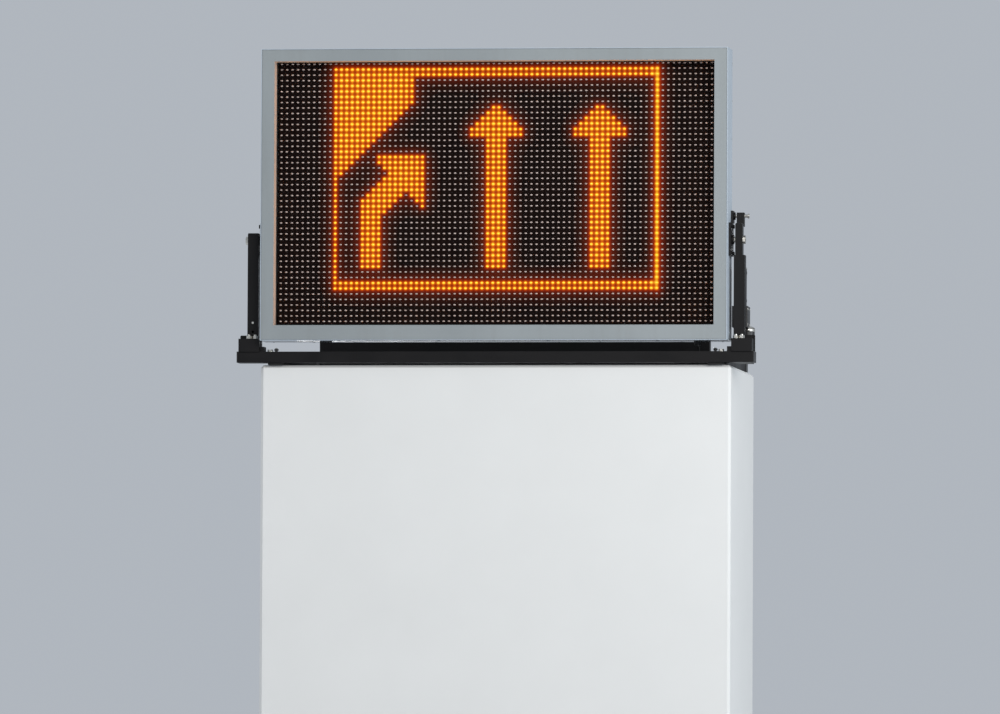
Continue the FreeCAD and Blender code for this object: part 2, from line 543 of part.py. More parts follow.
def back_panels():
    y = CAB_BACK + " - dims.skin"
    wide = "(dims.cab_w - 2 * dims.skin)"
    low = "(dims.cab_z + dims.skin)"
    open_low = "(dims.door_z - dims.door_gap)"
    open_high = "(dims.door_z + dims.door_h + dims.door_gap)"
    tall = "(dims.door_h + 2 * dims.door_gap)"
    foot = box("back_foot", (wide, "dims.skin", "%s - %s" % (open_low, low)), ("-%s / 2" % wide, y, low))
    head = box("back_head", (wide, "dims.skin", "%s - dims.skin - %s" % (CAB_TOP, open_high)),
               ("-%s / 2" % wide, y, open_high))
    node("back_head_and_foot", group("back_cross_strips", foot, head))
    edge = "(dims.door_x + dims.door_w + dims.door_gap)"
    stile = box("back_stile", ("%s / 2 - %s" % (wide, edge), "dims.skin", tall), (edge, y, open_low))
    centre = box("back_centre", ("2 * (dims.door_x - dims.door_gap)", "dims.skin", tall),
                 ("-(dims.door_x - dims.door_gap)", y, open_low))
    slots = []
    hoods = []
    for index, level in enumerate(VENT_LEVELS):
        for side, left in (("right", "dims.vent_x"), ("left", "-(dims.vent_x + dims.vent_w)")):
            name = "vent_%s_%d" % (side, index)
            slots.append(box(name + "_slot", ("dims.vent_w", "3 * dims.skin", "dims.vent_h"),
                             (left, y + " - dims.skin", level)))
            shell = box(name + "_hood", ("dims.vent_w + 2 * dims.hood_rim", "dims.hood_d", "dims.hood_h"),
                        (left + " - dims.hood_rim", CAB_BACK, "%d - dims.hood_drop" % level))
            inside = box(name + "_inside",
                         ("dims.vent_w + 2 * dims.hood_rim - 2 * dims.hood_wall",
                          "dims.hood_d - dims.hood_wall", "dims.hood_h - dims.hood_wall"),
                         (left + " - dims.hood_rim + dims.hood_wall", CAB_BACK,
                          "%d - dims.hood_drop" % level))
            hoods.append(cut(name, shell, inside))
    centre_cut = cut("back_centre_vented", centre, *slots)
    node("back_uprights", group("back_stiles", stile, mirrored("back_stile_left", stile), centre_cut))
    jamb_y = y + " - dims.jamb_d"
    door_side = "dims.door_x - dims.door_gap"
    opening = "(dims.door_w + 2 * dims.door_gap)"
    outer = box("jamb_outer",
                (opening + " + 2 * dims.jamb_lap", "dims.jamb_d", tall + " + 2 * dims.jamb_lap"),
                (door_side + " - dims.jamb_lap", jamb_y, open_low + " - dims.jamb_lap"))
    step = box("jamb_step", (opening, "dims.jamb_d - dims.jamb_lap", tall),
               (door_side, jamb_y + " + dims.jamb_lap", open_low))
    clear = box("jamb_window",
                (opening + " - 2 * dims.jamb_land", "dims.jamb_d", tall + " - 2 * dims.jamb_land"),
                (door_side + " + dims.jamb_land", jamb_y, open_low + " + dims.jamb_land"))
    jamb = cut("jamb_right", outer, step, clear)
    node("door_jambs", group("jambs", jamb, mirrored("jamb_left", jamb)))
    seal_out = box("door_seal_outer", (opening + " - 2", "dims.door_seal_t", tall + " - 2"),
                   (door_side + " + 1", jamb_y + " + dims.jamb_lap", open_low + " + 1"))
    seal_in = box("door_seal_inner",
                  (opening + " - 2 - 2 * dims.door_seal_w", "dims.door_seal_t",
                   tall + " - 2 - 2 * dims.door_seal_w"),
                  (door_side + " + 1 + dims.door_seal_w", jamb_y + " + dims.jamb_lap",
                   open_low + " + 1 + dims.door_seal_w"))
    seal = cut("door_seal_right", seal_out, seal_in)
    node("door_gaskets", group("door_seals", seal, mirrored("door_seal_left", seal)))
    node("vent_hoods", group("hoods", *hoods))


def side_plates():
    plate = box("hinge_plate", ("dims.hinge_t", "dims.hinge_w", "dims.hinge_h"),
                (CAB_HALF, "dims.pivot_y - dims.hinge_w / 2", "dims.pivot_z - dims.hinge_h / 2"))
    boss = cylinder("hinge_boss", "dims.boss_r", "dims.boss_h",
                    (CAB_HALF + " + dims.hinge_t", "dims.pivot_y", "dims.pivot_z"), X_AXIS)
    bore = cylinder("hinge_bore", "dims.pivot_r + dims.running", "2 * (dims.hinge_t + dims.boss_h)",
                    (CAB_HALF, "dims.pivot_y", "dims.pivot_z"), X_AXIS)
    whole = cut("hinge_plate_bored", fuse("hinge_plate_boss", plate, boss), bore)
    node("tilt_hinge_plates", group("hinge_plate_pair", whole, mirrored("hinge_plate_left", whole)))
    lug = box("lug_plate", ("dims.hinge_t", "dims.lug_w", "dims.lug_h"),
              (CAB_HALF, "dims.lug_y", "dims.lug_z"))
    lug_boss = cylinder("lug_boss", "dims.lug_boss_r", "dims.lug_boss_h",
                        (CAB_HALF + " + dims.hinge_t", "dims.lug_pin_y", "dims.lug_pin_z"), X_AXIS)
    node("actuator_lug", fuse("lug", lug, lug_boss))
    bolts = []
    for index, (step_y, step_z) in enumerate(((-1, -1), (1, -1), (-1, 1), (1, 1))):
        head = cylinder("plate_bolt_%d" % index, "dims.fix_r", "dims.fix_h",
                        (CAB_HALF + " + dims.hinge_t", "dims.pivot_y + %d * dims.fix_y" % step_y,
                         "dims.pivot_z + %d * dims.fix_z" % step_z), X_AXIS)
        bolts += [head, mirrored("plate_bolt_left_%d" % index, head)]
    node("side_plate_bolts", group("plate_bolts", *bolts))


# ---------------------------------------------------------------- service doors
def doors():
    axis_x = "(dims.door_x + dims.door_w + dims.hinge_off)"
    axis_y = CAB_BACK + " + dims.hinge_out"
    pin_bore_r = "dims.hinge_pin_r + dims.running"
    knuckle_up = "(dims.knuckle_h + 2 * dims.knuckle_gap)"
    for side in ("right", "left"):
        sign = 1 if side == "right" else -1
        right = side == "right"
        left_edge = "dims.door_x" if right else "-dims.door_x - dims.door_w"
        panel = plate_body("door_%s_panel" % side, "dims.door_w", "dims.door_h", "dims.door_d",
                           (left_edge, CAB_BACK, "dims.door_z"), True)
        tray_pocket(panel, "door_" + side, "dims.door_w - 2 * dims.skin", "dims.door_h - 2 * dims.skin",
                    "dims.skin", "dims.door_d", "dims.door_d - dims.skin")
        from_left = "dims.latch_x - dims.door_x" if right else "dims.door_w - (dims.latch_x - dims.door_x)"
        for level, latch_z in LATCH_LEVELS:
            round_pocket(panel, "door_%s_%s" % (side, level), "dims.latch_r + dims.running",
                         from_left, "%d - dims.door_z" % latch_z, "dims.door_d")
        node("door_" + side, panel)
        pin_x = "%d * %s" % (sign, axis_x)
        plate_x = pin_x + (" - dims.leaf_w - dims.leaf_step" if right else " + dims.leaf_step")
        tab_x = pin_x + (" - dims.leaf_tab" if right else "")
        leaves = []
        for index, low in enumerate(HINGE_LEVELS):
            name = "door_leaf_%s_%d" % (side, index)
            middle = "%d + %s" % (low, knuckle_up)
            plate = box(name, ("dims.leaf_w", "dims.leaf_t", "dims.leaf_h"), (plate_x, CAB_BACK, low))
            tab = box(name + "_tab", ("dims.leaf_tab", "dims.leaf_t", "dims.knuckle_h"),
                      (tab_x, CAB_BACK, middle))
            barrel = cylinder(name + "_barrel", "dims.hinge_r", "dims.knuckle_h", (pin_x, axis_y, middle))
            bore = cylinder(name + "_bore", pin_bore_r, "2 * dims.knuckle_h",
                            (pin_x, axis_y, middle + " - dims.knuckle_h / 2"))
            leaves.append(cut(name, fuse(name + "_joined", plate, tab, barrel), bore))
        node("door_%s_hinge_leaves" % side, group("leaves_" + side, *leaves))
    fixed = []
    knuckle = "(dims.knuckle_h + dims.knuckle_gap)"
    for index, low in enumerate(HINGE_LEVELS):
        name = "fixed_leaf_%d" % index
        parts = [box(name, ("dims.leaf_w + 2", "dims.leaf_t", "dims.leaf_h"),
                     (axis_x + " + dims.leaf_step", CAB_BACK, low))]
        for end, start in enumerate((str(low), "%d + dims.leaf_h - %s" % (low, knuckle))):
            parts.append(box("%s_tab_%d" % (name, end), ("dims.leaf_tab", "dims.leaf_t", knuckle),
                             (axis_x, CAB_BACK, start)))
            parts.append(cylinder("%s_barrel_%d" % (name, end), "dims.hinge_r", knuckle,
                                  (axis_x, axis_y, start)))
        parts.append(cylinder(name + "_pin", "dims.hinge_pin_r", "dims.leaf_h", (axis_x, axis_y, low)))
        whole = fuse(name + "_joined", *parts)
        fixed += [whole, mirrored(name + "_left", whole)]
    node("cabinet_hinge_leaves", group("fixed_leaves", *fixed))


def latches():
    for side in ("left", "right"):
        at_x = "%d * dims.latch_x" % (1 if side == "right" else -1)
        for level, height in LATCH_LEVELS:
            name = "latch_%s_%s" % (side, level)
            rose = cylinder(name + "_rose", "dims.rose_r", "dims.rose_h",
                            (at_x, CAB_BACK + " + dims.rose_gap", height), Y_AXIS)
            grip = box(name + "_grip", ("dims.grip_w", "dims.grip_d", "dims.grip_h"),
                       (at_x + " - dims.grip_w / 2", CAB_BACK + " + 3", "%d - dims.grip_h / 2" % height))
            shaft = cylinder(name + "_shaft", "dims.latch_r", "dims.cam_in + 2",
                             (at_x, CAB_BACK + " - dims.cam_in", height), Y_AXIS)
            cam = box(name + "_cam", ("dims.cam_w", "dims.cam_t", "dims.cam_h"),
                      (at_x + " - dims.cam_w / 2", CAB_BACK + " - dims.cam_in", "%d - dims.cam_w / 2" % height))
            node(name, fuse(name, rose, grip, shaft, cam))


# ---------------------------------------------------------------- linear actuator
def on_actuator_line(name, shape):
    """Lean a piece drawn on a vertical axis through the lower pin to the actuator's own line."""
    leaned = group(name, shape)
    leaned.Placement.Rotation = FreeCAD.Rotation(X_AXIS, ACTUATOR_LEAN)
    place(leaned, ("dims.act_x", "dims.act_y", "dims.act_z"))
    return leaned


def actuator():
    eye = cylinder("act_eye", "dims.eye_r", "dims.eye_w", ("-dims.eye_w / 2", 0, 0), X_AXIS)
    neck = box("act_neck", ("dims.neck_w", "dims.neck_w", "dims.neck_h"),
               ("-dims.neck_w / 2", "-dims.neck_w / 2", "dims.neck_low"))
    housing = box("act_housing", ("dims.gear_w", "dims.gear_d", "dims.gear_h"),
                  ("dims.gear_x", "dims.gear_y", "dims.gear_z"))
    eye_bore = cylinder("act_eye_bore", "dims.pin_r + dims.running", "2 * dims.eye_w",
                        ("-dims.eye_w", 0, 0), X_AXIS)
    seat = box("act_seat", ("dims.seat_w", "dims.seat_d", "dims.seat_h"),
               ("dims.seat_x", "dims.seat_y", "dims.tube_z"))
    gearbox = cut("act_gearbox", fuse("act_gearbox_solid", eye, neck, housing), eye_bore, seat)
    node("actuator_gearbox", on_actuator_line("act_gearbox_group", gearbox))
    motor_at = ("dims.motor_x", "dims.motor_y", "dims.motor_z")
    motor = fuse("act_motor", cylinder("act_motor_can", "dims.motor_r", "dims.motor_h", motor_at),
                 sphere("act_motor_end", "dims.motor_r", motor_at))
    node("actuator_motor", on_actuator_line("act_motor_group", motor))
    tube = cut("act_tube", cylinder("act_tube_outer", "dims.tube_r", "dims.tube_h", (0, 0, "dims.tube_z")),
               cylinder("act_tube_inner", "dims.rod_r + dims.rod_play", "dims.tube_h",
                        (0, 0, "dims.tube_z + dims.tube_floor")))
    node("actuator_tube", on_actuator_line("act_tube_group", tube))
    tube_top = "dims.tube_z + dims.tube_h"
    collar = cut("act_collar",
                 cylinder("act_collar_outer", "dims.collar_r", "dims.collar_t", (0, 0, tube_top)),
                 cylinder("act_collar_inner", "dims.rod_r + dims.running", "3 * dims.collar_t",
                          (0, 0, tube_top + " - dims.collar_t")))
    node("actuator_collar", on_actuator_line("act_collar_group", collar))
    rod = cylinder("act_rod", "dims.rod_r", "dims.rod_h", (0, 0, "dims.rod_z"))
    node("actuator_rod", on_actuator_line("act_rod_group", rod))
    rod_top = "dims.rod_z + dims.rod_h"
    head = box("rod_head", ("dims.end_w", "dims.end_d", "dims.end_h"),
               ("dims.end_x", "-dims.end_d / 2", rod_top))
    bore = cylinder("rod_head_bore", "dims.pin_r", "2 * dims.end_w",
                    ("-dims.end_w", 0, "dims.pin_up"), X_AXIS)
    node("rod_end", on_actuator_line("rod_end_group", cut("rod_end_bored", head, bore)))
    pin = fuse("rod_pin", cylinder("rod_pin_shank", "dims.pin_r", "dims.rod_pin_h",
                                   ("dims.rod_pin_x", 0, "dims.pin_up"), X_AXIS),
               cylinder("rod_pin_head", "dims.rod_pin_head_r", "dims.rod_pin_head_h",
                        ("dims.rod_pin_head_x", 0, "dims.pin_up"), X_AXIS))
    node("rod_end_pin", on_actuator_line("rod_pin_group", pin))
    fork = [box("fork_inner", ("dims.fork_t", "dims.fork_d", "dims.fork_h"),
                ("dims.act_x - dims.fork_in", "dims.fork_y", FRAME_TOP)),
            box("fork_outer", ("dims.fork_t", "dims.fork_d", "dims.fork_h"),
                ("dims.act_x + dims.fork_gap", "dims.fork_y", FRAME_TOP)),
            box("fork_sole", ("2 * dims.fork_in", "dims.fork_d", "dims.sole_t"),
                ("dims.act_x - dims.fork_in", "dims.fork_y", FRAME_TOP))]
    bore = cylinder("fork_bore", "dims.pin_r + dims.running", "4 * dims.fork_in",
                    ("dims.act_x - 2 * dims.fork_in", "dims.act_y", "dims.act_z"), X_AXIS)
    node("actuator_bracket", cut("fork_bored", fuse("fork", *fork), bore))
    pin = fuse("base_pin", cylinder("base_pin_shank", "dims.pin_r", "dims.base_pin_h",
                                    ("dims.act_x - dims.base_pin_out", "dims.act_y", "dims.act_z"), X_AXIS),
               cylinder("base_pin_head", "dims.rod_pin_head_r", "dims.base_pin_head_h",
                        ("dims.act_x + dims.fork_in", "dims.act_y", "dims.act_z"), X_AXIS))
    node("actuator_base_pin", pin)


base_frame()
posts()
pivot_bolts()
rest_stand()
cabinet_skins()
bezel()
led_modules()
electronics()
back_panels()
side_plates()
doors()
latches()
actuator()
doc.recompute()

for item in doc.Objects:
    if "Invalid" in item.State or "Error" in item.State:
        raise RuntimeError("%s: %s" % (item.Name, item.State))

os.makedirs("parts", exist_ok=True)
for item in NODES:
    if item.Shape.isNull() or not item.Shape.isValid():
        raise RuntimeError("bad shape: " + item.Label)
    item.Shape.exportStep("parts/%s.step" % item.Label)
    bounds = item.Shape.BoundBox
    print("%-24s %d solids  x %.1f %.1f  y %.1f %.1f  z %.1f %.1f" % (
        item.Label, len(item.Shape.Solids), bounds.XMin, bounds.XMax, bounds.YMin, bounds.YMax,
        bounds.ZMin, bounds.ZMax))
print(len(NODES), "nodes")
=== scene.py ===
"""Looks for a vehicle-mounted LED arrow board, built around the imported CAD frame."""
import json
import math

import bmesh
import bpy
import numpy as np
from mathutils import Matrix, Vector


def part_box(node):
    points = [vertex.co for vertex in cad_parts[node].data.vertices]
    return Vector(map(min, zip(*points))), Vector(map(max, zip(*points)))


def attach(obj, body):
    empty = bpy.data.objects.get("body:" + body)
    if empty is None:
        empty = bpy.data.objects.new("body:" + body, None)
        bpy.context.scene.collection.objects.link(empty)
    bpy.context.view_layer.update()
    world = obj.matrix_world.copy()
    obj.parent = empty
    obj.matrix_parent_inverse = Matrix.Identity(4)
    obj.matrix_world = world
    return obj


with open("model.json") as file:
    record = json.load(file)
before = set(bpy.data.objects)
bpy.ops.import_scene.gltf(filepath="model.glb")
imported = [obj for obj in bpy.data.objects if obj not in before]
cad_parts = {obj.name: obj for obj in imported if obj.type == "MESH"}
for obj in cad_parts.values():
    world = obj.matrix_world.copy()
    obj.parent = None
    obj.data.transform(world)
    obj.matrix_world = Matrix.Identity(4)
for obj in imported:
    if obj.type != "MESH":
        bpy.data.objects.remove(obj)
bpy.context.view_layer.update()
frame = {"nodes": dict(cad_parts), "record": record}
NODES = frame["nodes"]

# Lamp grid of the display, in lamps and metres.
COLUMNS = 80
ROWS = 48
PITCH = 0.02
FIELD_LOW, FIELD_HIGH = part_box("led_modules_lower")[0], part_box("led_modules_upper")[1]
MASK_Y = FIELD_LOW.y
FIELD_CENTRE_Z = (FIELD_LOW.z + FIELD_HIGH.z) / 2
LAMP_RX = 0.0051
LAMP_RZ = 0.0031
LAMP_DEPTH = 0.0042
LAMP_POWER = 1.15
SPILL_STEPS = 6
# Spread of the glow in height and width, with its share of the brightness.
SPILL_LAYERS = (((0.0058, 0.0058), 1.0), ((0.011, 0.012), 0.12), ((0.02, 0.02), 0.12), ((0.036, 0.036), 0.1))
# The lit border's outer columns. The right one is driven harder: light fills the gaps between its lamps.
BORDER_LEFT, BORDER_RIGHT = 10, 69
STRONG_SPREAD = (0.02, 0.0125)
STRONG_SHARE = 0.32
SPILL_LEAST = 0.006
SPILL_POWER = 1.0
MODULE_WIDTH = 16 * PITCH
MODULE_HEIGHT = 8 * PITCH
# The actuator's lower pin, and how far its line leans back from upright.
BASE_PIN = (0.889, -0.303, 0.07)
ACTUATOR_LEAN = math.radians(-1.2086)
# Service doors: the foot of each hinge leaf, its screws above that, and how far out the latches stand.
LEAF_LEVELS = (0.23, 0.85)
LEAF_SCREWS = (0.012, 0.04, 0.068)
LATCH_X = 0.385
# The stage: the floor's level and half the plinth's width.
FLOOR_Z = -3.4
PLINTH_HALF = 0.862


def srgb(red, green, blue):
    """Linear colour from 8-bit display values."""
    def channel(value):
        value = value / 255
        return value / 12.92 if value <= 0.04045 else ((value + 0.055) / 1.055) ** 2.4
    return (channel(red), channel(green), channel(blue), 1)


# ---------------------------------------------------------------- materials
class Paint:
    """A Principled material with a few helpers for procedural detail."""

    def __init__(self, name):
        self.material = bpy.data.materials.new(name)
        self.material.use_nodes = True
        self.nodes = self.material.node_tree.nodes
        self.links = self.material.node_tree.links
        self.shader = self.nodes["Principled BSDF"]
        coordinates = self.nodes.new("ShaderNodeTexCoord")
        self.place = coordinates.outputs["Object"]

    def set(self, **values):
        for key, value in values.items():
            self.shader.inputs[key.replace("_", " ")].default_value = value
        return self

    def stretched(self, scale):
        mapping = self.nodes.new("ShaderNodeMapping")
        mapping.inputs["Scale"].default_value = scale
        self.links.new(self.place, mapping.inputs["Vector"])
        return mapping.outputs["Vector"]

    def noise(self, scale, detail=4.0, roughness=0.55, stretch=None):
        noise = self.nodes.new("ShaderNodeTexNoise")
        noise.inputs["Scale"].default_value = scale
        noise.inputs["Detail"].default_value = detail
        noise.inputs["Roughness"].default_value = roughness
        self.links.new(self.stretched(stretch) if stretch else self.place, noise.inputs["Vector"])
        return noise.outputs["Fac"]

    def ramp(self, factor, stops):
        ramp = self.nodes.new("ShaderNodeValToRGB")
        elements = ramp.color_ramp.elements
        while len(elements) < len(stops):
            elements.new(0.5)
        for element, (position, colour) in zip(elements, stops):
            element.position = position
            element.color = colour
        self.links.new(factor, ramp.inputs["Fac"])
        return ramp.outputs["Color"]

    def span(self, factor, low, high, from_low=0.3, from_high=0.7):
        """Map a grey value to a number range."""
        node = self.nodes.new("ShaderNodeMapRange")
        node.inputs["From Min"].default_value = from_low
        node.inputs["From Max"].default_value = from_high
        node.inputs["To Min"].default_value = low
        node.inputs["To Max"].default_value = high
        self.links.new(factor, node.inputs["Value"])
        return node.outputs["Result"]

    def mixed(self, factor, under, over):
        node = self.nodes.new("ShaderNodeMix")
        node.data_type = "RGBA"
        self.links.new(factor, node.inputs["Factor"])
        for socket, value in ((node.inputs["A"], under), (node.inputs["B"], over)):
            if isinstance(value, bpy.types.NodeSocket):
                self.links.new(value, socket)
            else:
                socket.default_value = value
        return node.outputs["Result"]

    def upward(self, sharpness=4.0):
        """1 on faces that look up, 0 elsewhere: the dusty tops, which also carry a painted highlight."""
        geometry = self.nodes.new("ShaderNodeNewGeometry")
        split = self.nodes.new("ShaderNodeSeparateXYZ")
        self.links.new(geometry.outputs["Normal"], split.inputs["Vector"])
        return self.span(split.outputs["Z"], 0.0, 1.0, 1 - 1 / sharpness, 1.0)

    def product(self, first, second):
        node = self.nodes.new("ShaderNodeMath")
        node.operation = "MULTIPLY"
        for socket, value in zip(node.inputs, (first, second)):
            if isinstance(value, bpy.types.NodeSocket):
                self.links.new(value, socket)
            else:
                socket.default_value = value
        return node.outputs["Value"]

    def colour(self, socket):
        self.links.new(socket, self.shader.inputs["Base Color"])
        return self

    def roughness(self, socket):
        self.links.new(socket, self.shader.inputs["Roughness"])
        return self

    def bump(self, height, strength, distance):
        node = self.nodes.new("ShaderNodeBump")
        node.inputs["Strength"].default_value = strength
        node.inputs["Distance"].default_value = distance
        self.links.new(height, node.inputs["Height"])
        self.links.new(node.outputs["Normal"], self.shader.inputs["Normal"])
        return self


def powder_black():
    paint = Paint("powder_black").set(Specular_IOR_Level=0.22)
    patches = paint.noise(7.0)
    base = paint.ramp(patches, [(0.35, srgb(8, 7, 8)), (0.7, srgb(14, 12, 13))])
    # Pale on faces that look up: dusty tops, and a painted highlight along them.
    dust_and_top_highlight = paint.product(paint.upward(), paint.span(paint.noise(22.0), 0.25, 0.75))
    paint.colour(paint.mixed(dust_and_top_highlight, base, srgb(92, 87, 86)))
    paint.roughness(paint.span(patches, 0.4, 0.6))
    return paint.bump(paint.noise(900.0, 2.0), 0.12, 0.0004).material


def cabinet_paint(name, low, high, rough_low=0.46, rough_high=0.6, grain=0.06):
    paint = Paint(name).set(Metallic=0.15, Specular_IOR_Level=0.5)
    broad = paint.noise(2.2, 3.0, 0.5, (1.0, 1.0, 0.5))
    base = paint.ramp(broad, [(0.3, low), (0.7, high)])
    streak = paint.noise(30.0, 4.0, 0.6, (1.0, 1.0, 0.06))
    marked = paint.mixed(paint.span(streak, 0.0, 0.22, 0.5, 0.85), base, srgb(120, 121, 118))
    paint.colour(marked)
    paint.roughness(paint.span(broad, rough_low, rough_high))
    return paint.bump(paint.noise(1400.0, 2.0), grain, 0.0002).material


def metal(name, low, high, rough_low, rough_high, grain=None):
    paint = Paint(name).set(Metallic=1.0)
    patches = paint.noise(60.0, 5.0, 0.6, grain)
    paint.colour(paint.ramp(patches, [(0.3, low), (0.7, high)]))
    paint.roughness(paint.span(patches, rough_low, rough_high))
    return paint.bump(paint.noise(500.0, 3.0, 0.5, grain), 0.08, 0.0002).material


def plastic(name, low, high, rough_low, rough_high, grain_size=700.0):
    paint = Paint(name).set(Specular_IOR_Level=0.4)
    patches = paint.noise(14.0)
    paint.colour(paint.ramp(patches, [(0.35, low), (0.7, high)]))
    paint.roughness(paint.span(patches, rough_low, rough_high))
    return paint.bump(paint.noise(grain_size, 2.0), 0.15, 0.0003).material


MASK_TONES = [(0.35, srgb(20, 11, 9)), (0.7, srgb(28, 17, 13))]


def led_mask():
    """Matt black louvred face: hardly any shine, a faint mottle."""
    paint = Paint("led_mask").set(Specular_IOR_Level=0.05)
    patches = paint.noise(9.0)
    paint.colour(paint.ramp(patches, MASK_TONES))
    return paint.roughness(paint.span(patches, 0.75, 0.88)).material


def circuit():
    paint = Paint("circuit_green").set(Coat_Weight=0.3)
    tracks = paint.nodes.new("ShaderNodeTexBrick")
    tracks.inputs["Scale"].default_value = 260.0
    tracks.inputs["Mortar Size"].default_value = 0.012
    tracks.inputs["Color1"].default_value = srgb(14, 74, 42)
    tracks.inputs["Color2"].default_value = srgb(20, 92, 54)
    tracks.inputs["Mortar"].default_value = srgb(150, 140, 80)
    paint.links.new(paint.place, tracks.inputs["Vector"])
    paint.colour(tracks.outputs["Color"])
    return paint.roughness(paint.span(paint.noise(90.0), 0.3, 0.5)).material


def clear_sheet():
    """Anti-glare sheet: see-through, with a weak clear reflection that grows at a glancing angle."""
    paint = Paint("window_clear")
    open_shader = paint.nodes.new("ShaderNodeBsdfTransparent")
    open_shader.inputs["Color"].default_value = (0.95, 0.955, 0.96, 1)
    fresnel = paint.nodes.new("ShaderNodeFresnel")
    fresnel.inputs["IOR"].default_value = 1.1
    gloss = paint.nodes.new("ShaderNodeBsdfGlossy")
    gloss.inputs["Roughness"].default_value = 0.18
    gloss.inputs["Color"].default_value = (0.38, 0.4, 0.42, 1)
    mix = paint.nodes.new("ShaderNodeMixShader")
    geometry = paint.nodes.new("ShaderNodeNewGeometry")
    front = paint.nodes.new("ShaderNodeMath")
    front.operation = "SUBTRACT"
    front.inputs[0].default_value = 1.0
    paint.links.new(geometry.outputs["Backfacing"], front.inputs[1])
    paint.links.new(paint.product(fresnel.outputs["Fac"], front.outputs["Value"]), mix.inputs["Fac"])
    paint.links.new(open_shader.outputs["BSDF"], mix.inputs[1])
    paint.links.new(gloss.outputs["BSDF"], mix.inputs[2])
    paint.links.new(mix.outputs["Shader"], paint.nodes["Material Output"].inputs["Surface"])
    paint.nodes.remove(paint.shader)
    return paint.material


def lamp_off():
    paint = Paint("lamp_off").set(Specular_IOR_Level=0.6, Coat_Weight=0.4)
    tone = paint.noise(160.0, 2.0)
    paint.colour(paint.ramp(tone, [(0.35, srgb(184, 162, 151)), (0.65, srgb(212, 192, 182))]))
    return paint.roughness(paint.span(tone, 0.16, 0.3)).material


def lamp_on():
    """Amber chip under a clear dome: yellow in the middle, deeper at the rim."""
    paint = Paint("lamp_on").set(Roughness=0.25, Emission_Strength=LAMP_POWER)
    chip = paint.noise(160.0, 2.0)
    paint.colour(paint.ramp(chip, [(0.3, srgb(255, 150, 20)), (0.7, srgb(255, 170, 40))]))
    fade = paint.nodes.new("ShaderNodeAttribute")
    fade.attribute_name = "fade"
    glow = paint.ramp(fade.outputs["Fac"], [(0.0, srgb(255, 150, 10)), (0.6, srgb(255, 203, 64))])
    paint.links.new(glow, paint.shader.inputs["Emission Color"])
    return paint.material


def spill():
    """Amber light caught by the mask round the lit lamps, weaker with distance."""
    paint = Paint("lamp_spill").set(Roughness=0.85, Specular_IOR_Level=0.05, Emission_Strength=SPILL_POWER)
    paint.colour(paint.ramp(paint.noise(9.0), MASK_TONES))
    fade = paint.nodes.new("ShaderNodeAttribute")
    fade.attribute_name = "fade"
    glow = paint.ramp(fade.outputs["Fac"], [(0.0, (0.0, 0.0, 0.0, 1)), (0.02, srgb(38, 9, 2)),
                                            (0.06, srgb(72, 17, 2)), (0.22, srgb(114, 26, 1)),
                                            (0.5, srgb(158, 42, 0)), (0.8, srgb(226, 98, 2)),
                                            (1.0, srgb(255, 186, 36))])
    paint.links.new(glow, paint.shader.inputs["Emission Color"])
    return paint.material


def stage_matt(name, colour):
    paint = Paint(name).set(Roughness=0.9, Specular_IOR_Level=0.1)
    brighter = tuple(min(1.0, value * 1.03) for value in colour[:3]) + (1,)
    paint.colour(paint.ramp(paint.noise(3.0), [(0.3, colour), (0.7, brighter)]))
    return paint.material


BLACK = powder_black()
GREY = cabinet_paint("cabinet_grey", srgb(133, 139, 141), srgb(142, 148, 150))
# painted light: a lighter copy of the cabinet paint, partly a lighter finish and partly standing in for the
# light on the shell's side walls
SKIN_WITH_PAINTED_LIGHT = cabinet_paint("cabinet_skin_painted_light", srgb(162, 172, 181), srgb(172, 182, 191))
# the underside is painted lighter and glossier than the side walls: the lighter tone is painted light from
# below, and the gloss lets it reflect the pale stage
UNDERSIDE_WITH_PAINTED_LIGHT = cabinet_paint("cabinet_underside_painted_light", srgb(168, 178, 187), srgb(178, 188, 197), 0.02, 0.04, 0.005)
ZINC = metal("zinc", srgb(176, 174, 168), srgb(214, 212, 205), 0.24, 0.42)
GALVANISED = metal("galvanised", srgb(150, 153, 156), srgb(184, 187, 190), 0.34, 0.5, (1.0, 1.0, 0.2))
ALLOY = metal("alloy", srgb(184, 186, 189), srgb(206, 208, 210), 0.3, 0.45, (0.2, 1.0, 1.0))
ROD = metal("rod_steel", srgb(198, 200, 203), srgb(222, 224, 226), 0.08, 0.16, (1.0, 1.0, 0.1))
RUBBER = plastic("rubber", srgb(24, 24, 24), srgb(36, 35, 34), 0.7, 0.88)
PLASTIC = plastic("plastic_black", srgb(24, 24, 25), srgb(34, 34, 35), 0.4, 0.58)
MASK = led_mask()
MOTOR = plastic("motor_grey", srgb(38, 38, 39), srgb(50, 50, 51), 0.4, 0.55)
RIBBON = plastic("ribbon_grey", srgb(150, 150, 152), srgb(166, 166, 168), 0.45, 0.6)
RED_WIRE = plastic("wire_red", srgb(150, 22, 18), srgb(172, 30, 24), 0.4, 0.55)
CIRCUIT = circuit()
WINDOW = clear_sheet()

SLOT_LOOK = {
    "painted_black": BLACK, "cabinet_grey": GREY, "zinc": ZINC, "rubber_black": RUBBER,
    "plastic_black": PLASTIC, "window_clear": WINDOW, "module_black": MASK, "galvanised": GALVANISED,
    "alloy": ALLOY, "circuit_green": CIRCUIT, "actuator_grey": MOTOR, "rod_steel": ROD,
}
# the folded outer shell is a shade lighter than the front frame: partly a lighter finish, partly painted
# light on its side walls
SHELL = {"cabinet_top": SKIN_WITH_PAINTED_LIGHT, "cabinet_sides": SKIN_WITH_PAINTED_LIGHT, "cabinet_floor": UNDERSIDE_WITH_PAINTED_LIGHT}
EDGE_WIDTH = {"painted_black": 0.0018, "cabinet_grey": 0.001, "zinc": 0.0009, "rubber_black": 0.0012,
              "plastic_black": 0.001, "actuator_grey": 0.0025}


